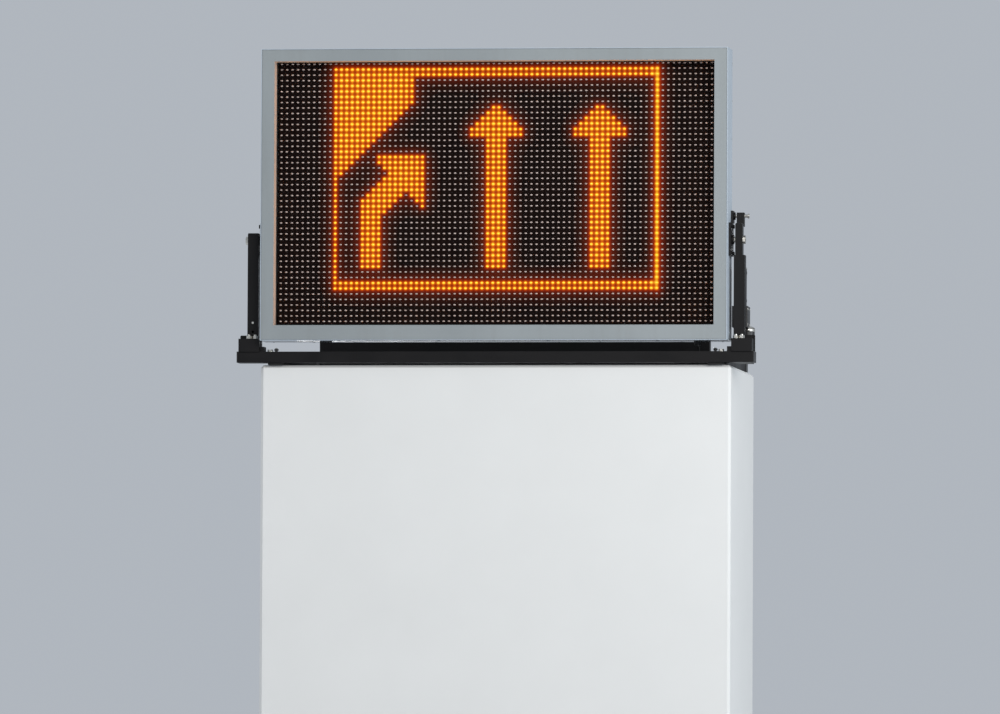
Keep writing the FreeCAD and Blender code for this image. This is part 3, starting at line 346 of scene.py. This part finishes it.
def dress_nodes():
    """Give every CAD node its finish and slightly rounded edges."""
    for row in frame["record"]["subparts"]:
        node = NODES[row["node"]]
        slot = row["material_slot"]
        node.data.materials.clear()
        node.data.materials.append(SHELL.get(row["node"], SLOT_LOOK[slot]))
        if slot in EDGE_WIDTH:
            bevel = node.modifiers.new("edges", "BEVEL")
            bevel.width = EDGE_WIDTH[slot]
            bevel.segments = 2
            bevel.limit_method = "ANGLE"
            bevel.angle_limit = math.radians(50)
            bevel.harden_normals = False


# ---------------------------------------------------------------- mesh helpers
def piece_from(name, mesh_builder, body, material, smooth=False):
    """Make one piece with bmesh, ride it on a CAD body and give it its finish."""
    mesh = bpy.data.meshes.new(name)
    build = bmesh.new()
    mesh_builder(build)
    build.to_mesh(mesh)
    build.free()
    obj = bpy.data.objects.new(name, mesh)
    bpy.context.scene.collection.objects.link(obj)
    mesh.materials.append(material)
    if smooth:
        for polygon in mesh.polygons:
            polygon.use_smooth = True
    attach(obj, body)
    return obj


def add_box(build, low, high, chamfer=0.0):
    """A box between two corners, with its edges chamfered."""
    centre = (Vector(low) + Vector(high)) / 2
    size = Vector(high) - Vector(low)
    matrix = Matrix.Translation(centre) @ Matrix.Diagonal((size.x, size.y, size.z, 1))
    made = bmesh.ops.create_cube(build, size=1.0, matrix=matrix)
    if chamfer:
        edges = list(dict.fromkeys(edge for vert in made["verts"] for edge in vert.link_edges))
        bmesh.ops.bevel(build, geom=edges, offset=chamfer, segments=1, affect="EDGES")


def turned_rings(build, centre, axis, profile, segments):
    """One ring of points for each (radius, distance along the axis) pair of a profile."""
    axis = Vector(axis).normalized()
    side = axis.orthogonal().normalized()
    other = axis.cross(side)
    rings = []
    for radius, along in profile:
        ring = []
        for step in range(segments):
            angle = 2 * math.pi * step / segments
            offset = (side * math.cos(angle) + other * math.sin(angle)) * radius
            ring.append(build.verts.new(Vector(centre) + axis * along + offset))
        rings.append(ring)
    return rings


def skin_rings(build, pairs, segments):
    """Faces between each pair of neighbouring rings."""
    for first, second in pairs:
        for step in range(segments):
            after = (step + 1) % segments
            build.faces.new((first[step], first[after], second[after], second[step]))


def add_lathe(build, centre, axis, profile, segments=24):
    """A solid turned about an axis, closed at both ends."""
    rings = turned_rings(build, centre, axis, profile, segments)
    skin_rings(build, zip(rings, rings[1:]), segments)
    build.faces.new(list(reversed(rings[0])))
    build.faces.new(rings[-1])


def add_ring(build, centre, axis, profile, segments=24):
    """A band turned about an axis with an open bore; the profile closes on itself."""
    rings = turned_rings(build, centre, axis, profile, segments)
    skin_rings(build, zip(rings, rings[1:] + rings[:1]), segments)


def add_tube(build, points, radius, segments=10):
    """A round tube that follows a list of points; the radius is a number or a function of the step."""
    points = [Vector(point) for point in points]
    rings = []
    for index, point in enumerate(points):
        ahead = points[min(index + 1, len(points) - 1)]
        behind = points[max(index - 1, 0)]
        axis = (ahead - behind).normalized()
        side = axis.cross(Vector((0.31, 0.43, 0.85))).normalized()
        other = axis.cross(side)
        ring = []
        for step in range(segments):
            angle = 2 * math.pi * step / segments
            size = radius(index) if callable(radius) else radius
            offset = (side * math.cos(angle) + other * math.sin(angle)) * size
            ring.append(build.verts.new(point + offset))
        rings.append(ring)
    for first, second in zip(rings, rings[1:]):
        for step in range(segments):
            after = (step + 1) % segments
            build.faces.new((first[step], second[step], second[after], first[after]))
    build.faces.new(rings[0])
    build.faces.new(list(reversed(rings[-1])))


# ---------------------------------------------------------------- display
def lamp_place(column, row):
    """Centre of one lamp; column 0 is the left one and row 0 the top one."""
    across = (column - (COLUMNS - 1) / 2) * PITCH
    up = FIELD_CENTRE_Z + ((ROWS - 1) / 2 - row) * PITCH
    return across, up


def in_frame(column, row):
    """The lit border: two rows at the top and bottom and one column at each side."""
    if row in (1, 2, 40, 41):
        return BORDER_LEFT <= column <= BORDER_RIGHT
    return column in (BORDER_LEFT, BORDER_RIGHT) and 1 <= row <= 41


def in_corner_block(column, row):
    """The closing shape in the upper left corner."""
    if 3 <= row <= 7:
        return BORDER_LEFT <= column <= 24
    return 8 <= row <= 20 and BORDER_LEFT <= column <= 31 - row


def in_merge_arrow(column, row):
    """An arrow that comes up from below and turns to the right."""
    if row == 17:
        return 18 <= column <= 26
    if 18 <= row <= 26 and row <= column <= 26:
        return True
    if 20 <= row <= 28 and column >= 15:
        return 40 - row <= column <= 46 - row
    return 25 <= row <= 37 and 15 <= column <= 18


def in_straight_arrow(column, row, centre):
    """An arrow that points straight up, about a centre line between two columns."""
    offset = abs(column - centre)
    if 8 <= row <= 13:
        return offset <= min(row - 7, 5) - 0.5
    return 14 <= row <= 37 and offset <= 1.5


def is_lit(column, row):
    return (in_frame(column, row) or in_corner_block(column, row) or in_merge_arrow(column, row)
            or in_straight_arrow(column, row, 39.5) or in_straight_arrow(column, row, 58.5))


def lamp_domes(name, lamps, material):
    """Oval lenses that stand out of the mask, in one mesh."""
    segments = 12
    profile = [(1.0, 0.0, 0.0), (0.94, 0.45, 0.35), (0.62, 0.84, 0.8)]
    verts, faces, fade = [], [], []
    for column, row in lamps:
        across, up = lamp_place(column, row)
        start = len(verts)
        for share, depth, glow in profile:
            for step in range(segments):
                angle = 2 * math.pi * step / segments
                verts.append((across + LAMP_RX * share * math.cos(angle), MASK_Y - LAMP_DEPTH * depth,
                              up + LAMP_RZ * share * math.sin(angle)))
                fade.append(glow)
        verts.append((across, MASK_Y - LAMP_DEPTH, up))
        fade.append(1.0)
        tip = len(verts) - 1
        for ring in range(len(profile) - 1):
            low = start + ring * segments
            for step in range(segments):
                after = (step + 1) % segments
                faces.append((low + step, low + after, low + segments + after, low + segments + step))
        low = start + (len(profile) - 1) * segments
        for step in range(segments):
            faces.append((low + step, low + (step + 1) % segments, tip))
        faces.append(tuple(start + step for step in reversed(range(segments))))
    return flat_mesh(name, verts, faces, fade, material, True)


def blurred(grid, sigmas, cell):
    """Spread a grid of points of light, by rows and then by columns."""
    for axis, sigma in enumerate(sigmas):
        reach = int(3.2 * sigma / cell) + 1
        kernel = np.exp(-(np.arange(-reach, reach + 1) * cell) ** 2 / (2 * sigma ** 2))
        grid = np.apply_along_axis(np.convolve, axis, grid, kernel, "same")
    return grid


def spill_sheet(name, lamps, material):
    """A sheet just in front of the mask that holds the light falling round the lit lamps."""
    cell = PITCH / SPILL_STEPS
    points = np.zeros((ROWS * SPILL_STEPS + 1, COLUMNS * SPILL_STEPS + 1))
    strong = np.zeros_like(points)
    for column, row in lamps:
        spot = (row * SPILL_STEPS + SPILL_STEPS // 2, column * SPILL_STEPS + SPILL_STEPS // 2)
        points[spot] = 1.0
        strong[spot] = float(column == BORDER_RIGHT)
    sources = [(points, sigmas, share) for sigmas, share in SPILL_LAYERS]
    sources.append((strong, STRONG_SPREAD, STRONG_SHARE))
    level = np.zeros_like(points)
    for source, sigmas, share in sources:
        layer = blurred(source, sigmas, cell)
        level += share * layer / layer.max()
    left = -COLUMNS * PITCH / 2
    top = FIELD_CENTRE_Z + ROWS * PITCH / 2
    index, verts, fade, faces = {}, [], [], []

    def corner(row, column):
        key = (row, column)
        if key not in index:
            index[key] = len(verts)
            verts.append((left + column * cell, MASK_Y - 0.0003, top - row * cell))
            fade.append(min(1.0, float(level[row, column])))
        return index[key]

    for row in range(ROWS * SPILL_STEPS):
        for column in range(COLUMNS * SPILL_STEPS):
            if level[row, column] > SPILL_LEAST:
                faces.append((corner(row + 1, column), corner(row + 1, column + 1),
                              corner(row, column + 1), corner(row, column)))
    return flat_mesh(name, verts, faces, fade, material, False)


def flat_mesh(name, verts, faces, fade, material, smooth):
    mesh = bpy.data.meshes.new(name)
    mesh.from_pydata(verts, [], faces)
    attribute = mesh.attributes.new("fade", "FLOAT", "POINT")
    attribute.data.foreach_set("value", fade)
    mesh.materials.append(material)
    if smooth:
        for polygon in mesh.polygons:
            polygon.use_smooth = True
    obj = bpy.data.objects.new(name, mesh)
    bpy.context.scene.collection.objects.link(obj)
    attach(obj, "cabinet")
    return obj


def display():
    cells = [(column, row) for row in range(ROWS) for column in range(COLUMNS)]
    lit = [cell for cell in cells if is_lit(*cell)]
    dark = [cell for cell in cells if not is_lit(*cell)]
    lamp_domes("lamps_lit", lit, lamp_on())
    lamp_domes("lamps_dark", dark, lamp_off())
    spill_sheet("lamp_spill", lit, spill())


# ---------------------------------------------------------------- small parts
def screw(build, place, axis, radius=0.0045):
    """A domed screw head with a shallow hollow in the middle."""
    add_lathe(build, place, axis, [(radius, -0.0004), (radius, radius * 0.18), (radius * 0.8, radius * 0.42),
                                   (radius * 0.42, radius * 0.52), (radius * 0.34, radius * 0.2)], 14)


def weld(build, start, end, radius=0.0026):
    """A bead laid in short overlapping ripples."""
    start, end = Vector(start), Vector(end)
    steps = max(4, int((end - start).length / 0.004))
    points = [start.lerp(end, step / steps) for step in range(steps + 1)]
    add_tube(build, points, lambda index: radius * (1.0 if index % 2 else 0.78), 7)


def curve_through(points, steps=8):
    """Smooth the corners of a path of points (Catmull-Rom)."""
    points = [Vector(point) for point in points]
    padded = [points[0]] + points + [points[-1]]
    path = []
    for index in range(1, len(padded) - 2):
        before, first, second, after = padded[index - 1:index + 3]
        for step in range(steps):
            share = step / steps
            path.append(0.5 * ((2 * first) + (second - before) * share
                               + (2 * before - 5 * first + 4 * second - after) * share ** 2
                               + (3 * first - before - 3 * second + after) * share ** 3))
    path.append(points[-1])
    return path


def both_sides(place):
    x, y, z = place
    return (x, y, z), (-x, y, z)


def frame_details():
    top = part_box("rear_beam")[1].z
    beam_front = -0.316
    feet_low, feet_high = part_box("post_feet")
    stand_low, stand_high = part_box("rest_stand")
    front_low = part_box("front_beam")[0]

    def beads(build):
        for sign in (-1, 1):
            inner, outer = 0.849 * sign, feet_high.x * sign
            weld(build, (0.867 * sign, feet_low.y + 0.001, top), (0.94 * sign, feet_low.y + 0.001, top))
            weld(build, (inner, feet_low.y + 0.012, top), (inner, feet_low.y + 0.068, top))
            weld(build, (outer, feet_high.y - 0.008, top + 0.002), (outer, feet_high.y - 0.008, top + 0.06))
            rail_in, rail_out = 0.776 * sign, 0.836 * sign
            weld(build, (rail_in, beam_front, top), (rail_out, beam_front, top))
            weld(build, (rail_in, front_low.y, top), (rail_out, front_low.y, top))
            weld(build, (rail_in, 0.18, top), (rail_in, 0.24, top))
            for edge in (0.685 * sign, 0.725 * sign):
                weld(build, (edge, stand_low.y, top), (edge, stand_high.y, top))
            weld(build, (0.685 * sign, stand_low.y, 0.073), (0.685 * sign, stand_low.y, 0.111))
            weld(build, (0.685 * sign, stand_low.y, 0.33), (0.725 * sign, stand_low.y, 0.33))
        weld(build, (0.862, beam_front, top), (0.932, beam_front, top))

    piece_from("weld_beads", beads, "base", BLACK, True)

    def caps(build):
        for tube in ("post_left", "pivot_bar_right"):
            low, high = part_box(tube)
            add_box(build, (low.x + 0.001, low.y + 0.001, high.z),
                    (high.x - 0.001, high.y - 0.001, high.z + 0.0025), 0.001)

    piece_from("post_caps", caps, "base", PLASTIC)

    def washers(build):
        for x in (0.881, 0.903):
            for place in both_sides((x, -0.3895, 0.095)):
                add_lathe(build, place, (0, 0, 1), [(0.0104, 0.0), (0.0104, 0.0012), (0.0098, 0.0016)], 24)
                add_lathe(build, (place[0], place[1], 0.109), (0, 0, 1),
                          [(0.0052, 0.0), (0.0052, 0.0006), (0.0036, 0.0016)], 18)
        for place in both_sides((0.805, -0.37, 0.06)):
            screw(build, place, (0, 0, 1), 0.004)
        for sign in (-1, 1):
            for x in (0.56, 0.66):
                screw(build, (x * sign, stand_low.y, 0.381), (0, -1, 0), 0.0035)
            for y in (-0.3, -0.1, 0.1, 0.3):
                screw(build, (0.806 * sign, y, top), (0, 0, 1), 0.005)

    piece_from("frame_fasteners", washers, "base", ZINC, True)

    # Painted shade: a black hexagon on the face of each pivot bolt stands for its shadowed hex socket.
    def sockets(build):
        for side in (-1, 1):
            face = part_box("pivot_bolts")[0 if side < 0 else 1].x
            add_lathe(build, (face, -0.353, 0.455), (side, 0, 0),
                      [(0.0068, -0.0006), (0.0068, 0.0003), (0.006, 0.0004)], 6)

    piece_from("bolt_socket_painted_shade", sockets, "base", BLACK)


def actuator_details():
    motor_low, motor_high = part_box("actuator_motor")
    centre = (motor_low + motor_high) / 2
    radius = (motor_high.x - motor_low.x) / 2

    def bell(build):
        add_lathe(build, (centre.x, centre.y, motor_high.z - 0.014), (0, 0, 1),
                  [(radius + 0.0002, 0.0), (radius + 0.0014, 0.001), (radius + 0.0014, 0.009),
                   (radius - 0.003, 0.016), (radius - 0.01, 0.0195), (0.004, 0.021)], 32)

    piece_from("motor_bell", bell, "actuator_body", ZINC, True)

    def bands(build):
        for z in (0.088, 0.108):
            add_lathe(build, (centre.x, centre.y, z), (0, 0, 1),
                      [(radius, 0.0), (radius + 0.0009, 0.0008),
                       (radius + 0.0009, 0.0032), (radius, 0.004)], 32)
        along = Vector((0, -math.sin(ACTUATOR_LEAN), math.cos(ACTUATOR_LEAN)))
        for reach in (0.16, 0.262):
            add_ring(build, Vector(BASE_PIN) + along * reach, along,
                     [(0.0218, 0.0005), (0.0222, 0.0), (0.0232, 0.001),
                      (0.0232, 0.009), (0.0222, 0.01), (0.0218, 0.0095)], 32)

    piece_from("actuator_bands", bands, "actuator_body", MOTOR, True)

    def fasteners(build):
        for y in (-0.318, -0.245):
            for z in (0.149, 0.204):
                screw(build, (0.917, y, z), (1, 0, 0), 0.0042)
        for z in (0.15, 0.2):
            screw(build, (0.872, -0.3255, z), (0, -1, 0), 0.0036)
            screw(build, (0.906, -0.3255, z), (0, -1, 0), 0.0036)

    piece_from("gearbox_screws", fasteners, "actuator_body", ZINC, True)

    def boot(build):
        """The rubber boot where a lead would leave the motor."""
        add_lathe(build, (centre.x, motor_high.y - 0.0012, 0.073), (0, 1, 0),
                  [(0.0068, -0.0004), (0.0064, 0.0034), (0.0046, 0.0048),
                   (0.004, 0.0104), (0.0022, 0.0112)], 20)

    piece_from("motor_boot", boot, "actuator_body", RUBBER, True)

    def clips(build):
        for x, outward in ((0.8672, -1), (0.9105, 1)):
            add_lathe(build, (x, BASE_PIN[1], BASE_PIN[2]), (outward, 0, 0),
                      [(0.0072, 0.0), (0.0072, 0.0012), (0.006, 0.0014)], 20)

    piece_from("pin_clips", clips, "base", ZINC, True)


def cabinet_details():
    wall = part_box("cabinet_sides")[1].x
    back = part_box("back_uprights")[1].y
    floor_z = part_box("cabinet_floor")[0].z
    roof_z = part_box("cabinet_top")[1].z

    def screws(build):
        for step in range(12):
            x = -0.825 + step * 0.15
            screw(build, (x, back, roof_z - 0.014), (0, 1, 0), 0.004)
            screw(build, (x, back, floor_z + 0.014), (0, 1, 0), 0.004)
        for step in range(6):
            z = 0.19 + step * 0.155
            for place in both_sides((0.845, back, z)):
                screw(build, place, (0, 1, 0), 0.004)
            for place in both_sides((0.34, back, z)):
                screw(build, place, (0, 1, 0), 0.004)
        for leaf_low in LEAF_LEVELS:
            for offset in LEAF_SCREWS:
                for place in both_sides((0.826, back + 0.0025, leaf_low + offset)):
                    screw(build, place, (0, 1, 0), 0.0035)
        for left in (-0.255, 0.075):
            for z in (0.29, 0.94):
                for x in (left + 0.012, left + 0.168):
                    screw(build, (x, back + 0.02, z - 0.012), (0, 1, 0), 0.003)

    piece_from("back_screws", screws, "cabinet", ZINC, True)

    def rivets(build):
        for step in range(8):
            z = floor_z + 0.05 + step * (roof_z - floor_z - 0.1) / 7
            if 0.38 < z < 0.57:
                continue
            for place in both_sides((wall, back - 0.012, z)):
                outward = (1 if place[0] > 0 else -1, 0, 0)
                add_lathe(build, place, outward, [(0.0034, -0.0002), (0.003, 0.0007), (0.0014, 0.0012)], 14)
        for step in range(12):
            x = -0.825 + step * 0.15
            add_lathe(build, (x, back - 0.012, floor_z), (0, 0, -1),
                      [(0.0034, -0.0002), (0.003, 0.0006), (0.0014, 0.001)], 14)

    piece_from("shell_rivets", rivets, "cabinet", GREY, True)

    def grilles(build):
        """Bars across the open underside of each hood and slats in the slot behind it."""
        for left in (-0.24, 0.09):
            for level in (0.262, 0.912):
                for step in range(16):
                    x = left - 0.01 + step * 0.0108
                    add_box(build, (x, back + 0.0004, level - 0.011),
                            (x + 0.0022, back + 0.0168, level - 0.0092))
                for step in range(3):
                    z = level + 0.002 + step * 0.0078
                    add_box(build, (left + 0.0005, back - 0.0028, z),
                            (left + 0.1495, back - 0.0008, z + 0.0024), 0.0004)

    piece_from("vent_grilles", grilles, "cabinet", GREY)

    def plugs(build):
        for x in (-0.6, -0.2, 0.2, 0.6):
            add_lathe(build, (x, -0.43, floor_z), (0, 0, -1),
                      [(0.007, -0.0004), (0.0068, 0.0016), (0.004, 0.0024)], 20)
        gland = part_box("cable_gland")
        centre = (gland[0] + gland[1]) / 2
        for step in range(10):
            angle = 2 * math.pi * step / 10
            x = centre.x + 0.0101 * math.cos(angle)
            y = centre.y + 0.0101 * math.sin(angle)
            add_box(build, (x - 0.0009, y - 0.0009, gland[0].z + 0.001),
                    (x + 0.0009, y + 0.0009, gland[0].z + 0.007))

    piece_from("drain_plugs", plugs, "cabinet", PLASTIC, True)


def door_details():
    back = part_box("door_left")[1].y
    for side, sign in (("left", -1), ("right", 1)):
        body = "door_" + side
        door_low, door_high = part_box(body)

        def ribs(build):
            """A raised swage just inside the edge of the door."""
            inset, width, rise = 0.045, 0.009, 0.0016
            low = (door_low.x + inset, door_low.z + inset)
            high = (door_high.x - inset, door_high.z - inset)
            for z in (low[1], high[1] - width):
                add_box(build, (low[0], back - 0.0004, z), (high[0], back + rise, z + width), 0.0012)
            for x in (low[0], high[0] - width):
                add_box(build, (x, back - 0.0004, low[1]), (x + width, back + rise, high[1]), 0.0012)

        def fixings(build):
            for leaf_low in LEAF_LEVELS:
                for offset in LEAF_SCREWS:
                    screw(build, (0.778 * sign, back + 0.0025, leaf_low + offset), (0, 1, 0), 0.0035)

        piece_from(body + "_swage", ribs, body, GREY)
        piece_from(body + "_leaf_screws", fixings, body, ZINC, True)
        for level, z in (("lower", 0.33), ("upper", 0.82)):
            name = "latch_%s_%s" % (side, level)
            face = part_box(name)[1].y

            def key(build):
                add_lathe(build, (LATCH_X * sign, face, z), (0, 1, 0),
                          [(0.0038, -0.0004), (0.0038, 0.0003), (0.0032, 0.0005)], 20)

            def cam_screw(build):
                screw(build, (LATCH_X * sign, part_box(name)[0].y, z), (0, -1, 0), 0.0045)

            piece_from(name + "_key", key, name, ZINC, True)
            piece_from(name + "_cam_screw", cam_screw, name, ZINC, True)


def module_details():
    """Boards, sockets and flat cables on the back of each display module."""
    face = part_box("led_modules_lower")[1].y
    centres = [((column - 2) * MODULE_WIDTH, FIELD_LOW.z + (row + 0.5) * MODULE_HEIGHT)
               for row in range(6) for column in range(5)]

    def boards(build):
        for x, z in centres:
            add_box(build, (x - 0.152, face - 0.0055, z - 0.072), (x + 0.152, face - 0.004, z + 0.072))

    def sockets(build):
        for x, z in centres:
            for offset in (-0.118, 0.118):
                add_box(build, (x + offset - 0.005, face - 0.004, z - 0.02),
                        (x + offset + 0.005, face + 0.004, z + 0.02), 0.0006)
            add_box(build, (x - 0.012, face - 0.004, z - 0.012),
                    (x + 0.012, face + 0.005, z + 0.012), 0.0006)
            for step in range(4):
                chip = x - 0.08 + step * 0.05
                for foot in (z + 0.035, z - 0.055):
                    add_box(build, (chip, face - 0.004, foot),
                            (chip + 0.012, face - 0.0022, foot + 0.02), 0.0003)

    def ribbons(build):
        for x, z in centres:
            if x < 0.6:
                start, end = x + 0.118, x + 0.202
                add_box(build, (start, face + 0.0036, z - 0.017), (end, face + 0.0046, z + 0.017), 0.0003)

    piece_from("module_boards", boards, "cabinet", CIRCUIT)
    piece_from("module_sockets", sockets, "cabinet", PLASTIC)
    piece_from("module_ribbons", ribbons, "cabinet", RIBBON)


def equipment_details():
    plate_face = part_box("equipment_plates")[1].y
    supply_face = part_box("power_supplies")[1].y
    card_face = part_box("receiver_cards")[1].y
    brain_low, brain_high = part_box("controller")
    strip_low, strip_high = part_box("terminal_block")
    supplies = [(x, z) for x in (-0.615, 0.5) for z in (0.49, 0.665)]

    def slots(build):
        for x, z in supplies:
            for row in range(9):
                for column in range(6):
                    at_x = x + 0.014 + column * 0.0152
                    at_z = z + 0.044 + row * 0.0118
                    add_box(build, (at_x, supply_face - 0.0004, at_z),
                            (at_x + 0.0115, supply_face + 0.0002, at_z + 0.0042))

    def terminals(build):
        for x, z in supplies:
            add_box(build, (x + 0.012, supply_face - 0.0115, z + 0.002),
                    (x + 0.103, supply_face - 0.002, z + 0.022), 0.0006)
            for step in range(8):
                at_x = x + 0.0162 + step * 0.0112
                add_box(build, (at_x, supply_face - 0.003, z + 0.001),
                        (at_x + 0.0012, supply_face - 0.0004, z + 0.023))

    def metals(build):
        for x, z in supplies:
            for step in range(7):
                screw(build, (x + 0.0222 + step * 0.0112, supply_face - 0.002, z + 0.012), (0, 1, 0), 0.003)
            for at_x in (x + 0.006, x + 0.109):
                for at_z in (z + 0.034, z + 0.152):
                    screw(build, (at_x, supply_face, at_z), (0, 1, 0), 0.0024)
        for step in range(9):
            screw(build, (0.5135 + step * 0.0115, strip_high.y, strip_low.z + 0.015), (0, 1, 0), 0.003)
        for side in (-1, 1):
            for z in (0.43, 0.83):
                for x in (0.2, 0.42, 0.68):
                    screw(build, (x * side, plate_face - 0.02, z), (0, 1, 0), 0.0035)

    piece_from("supply_slots", slots, "cabinet", PLASTIC)
    piece_from("supply_terminals", terminals, "cabinet", PLASTIC)
    piece_from("equipment_screws", metals, "cabinet", ZINC, True)

    def card_parts(build):
        for x in (-0.5, 0.405):
            for step in range(8):
                z = 0.668 + step * 0.0168
                for left in (x + 0.004, x + 0.066):
                    add_box(build, (left, card_face, z), (left + 0.01, card_face + 0.007, z + 0.013), 0.0005)
            add_box(build, (x + 0.03, card_face, 0.735), (x + 0.05, card_face + 0.002, 0.755), 0.0004)
            add_box(build, (x + 0.028, card_face, 0.7), (x + 0.04, card_face + 0.0016, 0.712), 0.0003)

    def jacks(build):
        for x in (-0.5, 0.405):
            for offset in (0.022, 0.042):
                add_box(build, (x + offset, card_face, 0.784),
                        (x + offset + 0.016, card_face + 0.013, 0.804), 0.0005)
        for step in range(4):
            x = brain_low.x + 0.03 + step * 0.022
            add_box(build, (x, brain_low.y + 0.004, brain_low.z - 0.004),
                    (x + 0.016, brain_low.y + 0.018, brain_low.z), 0.0005)

    def fins(build):
        for step in range(15):
            x = brain_low.x + 0.018 + step * 0.0128
            add_box(build, (x, brain_high.y - 0.0004, brain_low.z + 0.02),
                    (x + 0.0036, brain_high.y + 0.0022, brain_high.z - 0.02), 0.0006)

    piece_from("card_sockets", card_parts, "cabinet", PLASTIC)
    piece_from("data_jacks", jacks, "cabinet", ALLOY)
    piece_from("controller_fins", fins, "cabinet", PLASTIC)

    def supply_wire(build, x, z, start, bend, drops):
        """A wire from one terminal of a supply: out, down and flat against the plate."""
        (mid_x, mid_drop), (end_x, end_drop) = drops
        path = [(x + start, supply_face - 0.001, z + 0.012), (x + start, supply_face + 0.006, z - bend),
                (x + mid_x, plate_face - 0.018, z - mid_drop), (x + end_x, plate_face - 0.022, z - end_drop)]
        add_tube(build, curve_through(path), 0.0016, 8)

    def red_wires(build):
        for x, z in supplies:
            supply_wire(build, x, z, 0.03, 0.004, ((0.05, 0.02), (0.05, 0.05)))
            supply_wire(build, x, z, 0.052, 0.003, ((0.072, 0.016), (0.11, 0.018)))

    def black_wires(build):
        for x, z in supplies:
            supply_wire(build, x, z, 0.041, 0.004, ((0.06, 0.02), (0.06, 0.05)))
        for side in (-1, 1):
            card_x = -0.47 if side < 0 else 0.435
            path = [(card_x, card_face + 0.006, 0.804), (card_x, card_face + 0.006, 0.822),
                    (card_x * 0.6, card_face + 0.002, 0.828), (0.06 * side, card_face + 0.004, 0.8),
                    (0.04 * side, brain_high.y - 0.012, brain_high.z + 0.004)]
            add_tube(build, curve_through(path), 0.0028, 8)
        for step in range(3):
            x = 0.5135 + step * 0.0115 * 3
            path = [(x, strip_high.y - 0.004, strip_low.z), (x, strip_high.y - 0.002, strip_low.z - 0.02),
                    (x - 0.04, plate_face - 0.022, strip_low.z - 0.05), (0.44, plate_face - 0.024, 0.3),
                    (0.52 + step * 0.02, plate_face - 0.026, 0.16), (0.735, -0.33, 0.1)]
            add_tube(build, curve_through(path), 0.0024, 8)

    piece_from("power_wires", red_wires, "cabinet", RED_WIRE, True)
    piece_from("data_wires", black_wires, "cabinet", RUBBER, True)

    def ties(build):
        for x, z in ((-0.565, 0.462), (0.55, 0.462), (-0.5, 0.65), (0.61, 0.65)):
            add_box(build, (x - 0.004, plate_face - 0.019, z - 0.0015),
                    (x + 0.02, plate_face - 0.012, z + 0.0015), 0.0006)

    piece_from("cable_ties", ties, "cabinet", PLASTIC)


# ---------------------------------------------------------------- stage
def stage_plane():
    bpy.ops.mesh.primitive_plane_add(size=400, location=(0, 0, FLOOR_Z))
    floor = bpy.context.object
    floor.name = "floor"
    floor.data.materials.append(stage_matt("floor_pale", srgb(206, 208, 210)))


def plinth():
    mesh = bpy.data.meshes.new("plinth")
    build = bmesh.new()
    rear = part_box("rubber_pads")[0]
    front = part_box("front_beam")[1]
    add_box(build, (-PLINTH_HALF, rear.y + 0.012, FLOOR_Z), (PLINTH_HALF, front.y - 0.004, -0.0005), 0.01)
    build.to_mesh(mesh)
    build.free()
    obj = bpy.data.objects.new("plinth", mesh)
    bpy.context.scene.collection.objects.link(obj)
    obj.data.materials.append(stage_matt("plinth_pale", srgb(214, 214, 212)))


def area_light(name, place, target, width, height, power, colour):
    data = bpy.data.lights.new(name, "AREA")
    data.shape = "RECTANGLE"
    data.size = width
    data.size_y = height
    data.energy = power
    data.color = colour
    light = bpy.data.objects.new(name, data)
    bpy.context.scene.collection.objects.link(light)
    light.location = place
    light.rotation_euler = (Vector(target) - Vector(place)).to_track_quat("-Z", "Y").to_euler()
    return light


def lights():
    world = bpy.data.worlds.new("studio")
    bpy.context.scene.world = world
    world.use_nodes = True
    world.node_tree.nodes["Background"].inputs["Color"].default_value = (0.78, 0.84, 0.92, 1)
    world.node_tree.nodes["Background"].inputs["Strength"].default_value = 0.56
    area_light("key", (3.1, -6.5, 2.4), (0, -0.3, 0.6), 4.0, 3.0, 305, (1.0, 0.98, 0.95))
    area_light("fill", (-5.5, -4.5, 2.5), (0, -0.3, 0.5), 4.0, 3.0, 90, (0.92, 0.96, 1.0))
    area_light("side", (6.0, -2.6, 0.1), (0.8, -0.37, 0.6), 2.0, 2.0, 150, (0.88, 0.94, 1.0))
    area_light("back", (-3.2, 6.5, 2.2), (0, -0.2, 0.5), 4.0, 3.0, 540, (0.97, 0.98, 1.0))
    glow = area_light("sign_glow", (0, MASK_Y - 0.006, FIELD_CENTRE_Z), (0, -3, FIELD_CENTRE_Z),
                      1.6, 0.96, 20.0, (1.0, 0.42, 0.16))
    glow.visible_camera = False
    glow.visible_glossy = False
    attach(glow, "cabinet")


def camera():
    """Far off and a little to the right, looking slightly up, so that the face stays almost square."""
    azimuth = math.radians(7.16)
    elevation = math.radians(-2.6)
    roll = Matrix.Rotation(math.radians(0.26), 4, "Z")
    target = Vector((0.027, -0.45, 0.0248))
    distance = 40.0
    back = Vector((math.sin(azimuth) * math.cos(elevation), -math.cos(azimuth) * math.cos(elevation),
                   math.sin(elevation)))
    data = bpy.data.cameras.new("camera")
    seen_width = 3.6312
    data.sensor_width = 36
    data.lens = data.sensor_width * distance / seen_width
    data.clip_end = 400
    obj = bpy.data.objects.new("camera", data)
    facing = (-back).to_track_quat("-Z", "Y").to_matrix().to_4x4()
    obj.matrix_world = Matrix.Translation(target + back * distance) @ facing @ roll
    bpy.context.scene.collection.objects.link(obj)
    bpy.context.scene.camera = obj


dress_nodes()
display()
frame_details()
actuator_details()
cabinet_details()
door_details()
module_details()
equipment_details()
stage_plane()
plinth()
lights()
camera()
bpy.context.scene.view_settings.view_transform = "Standard"
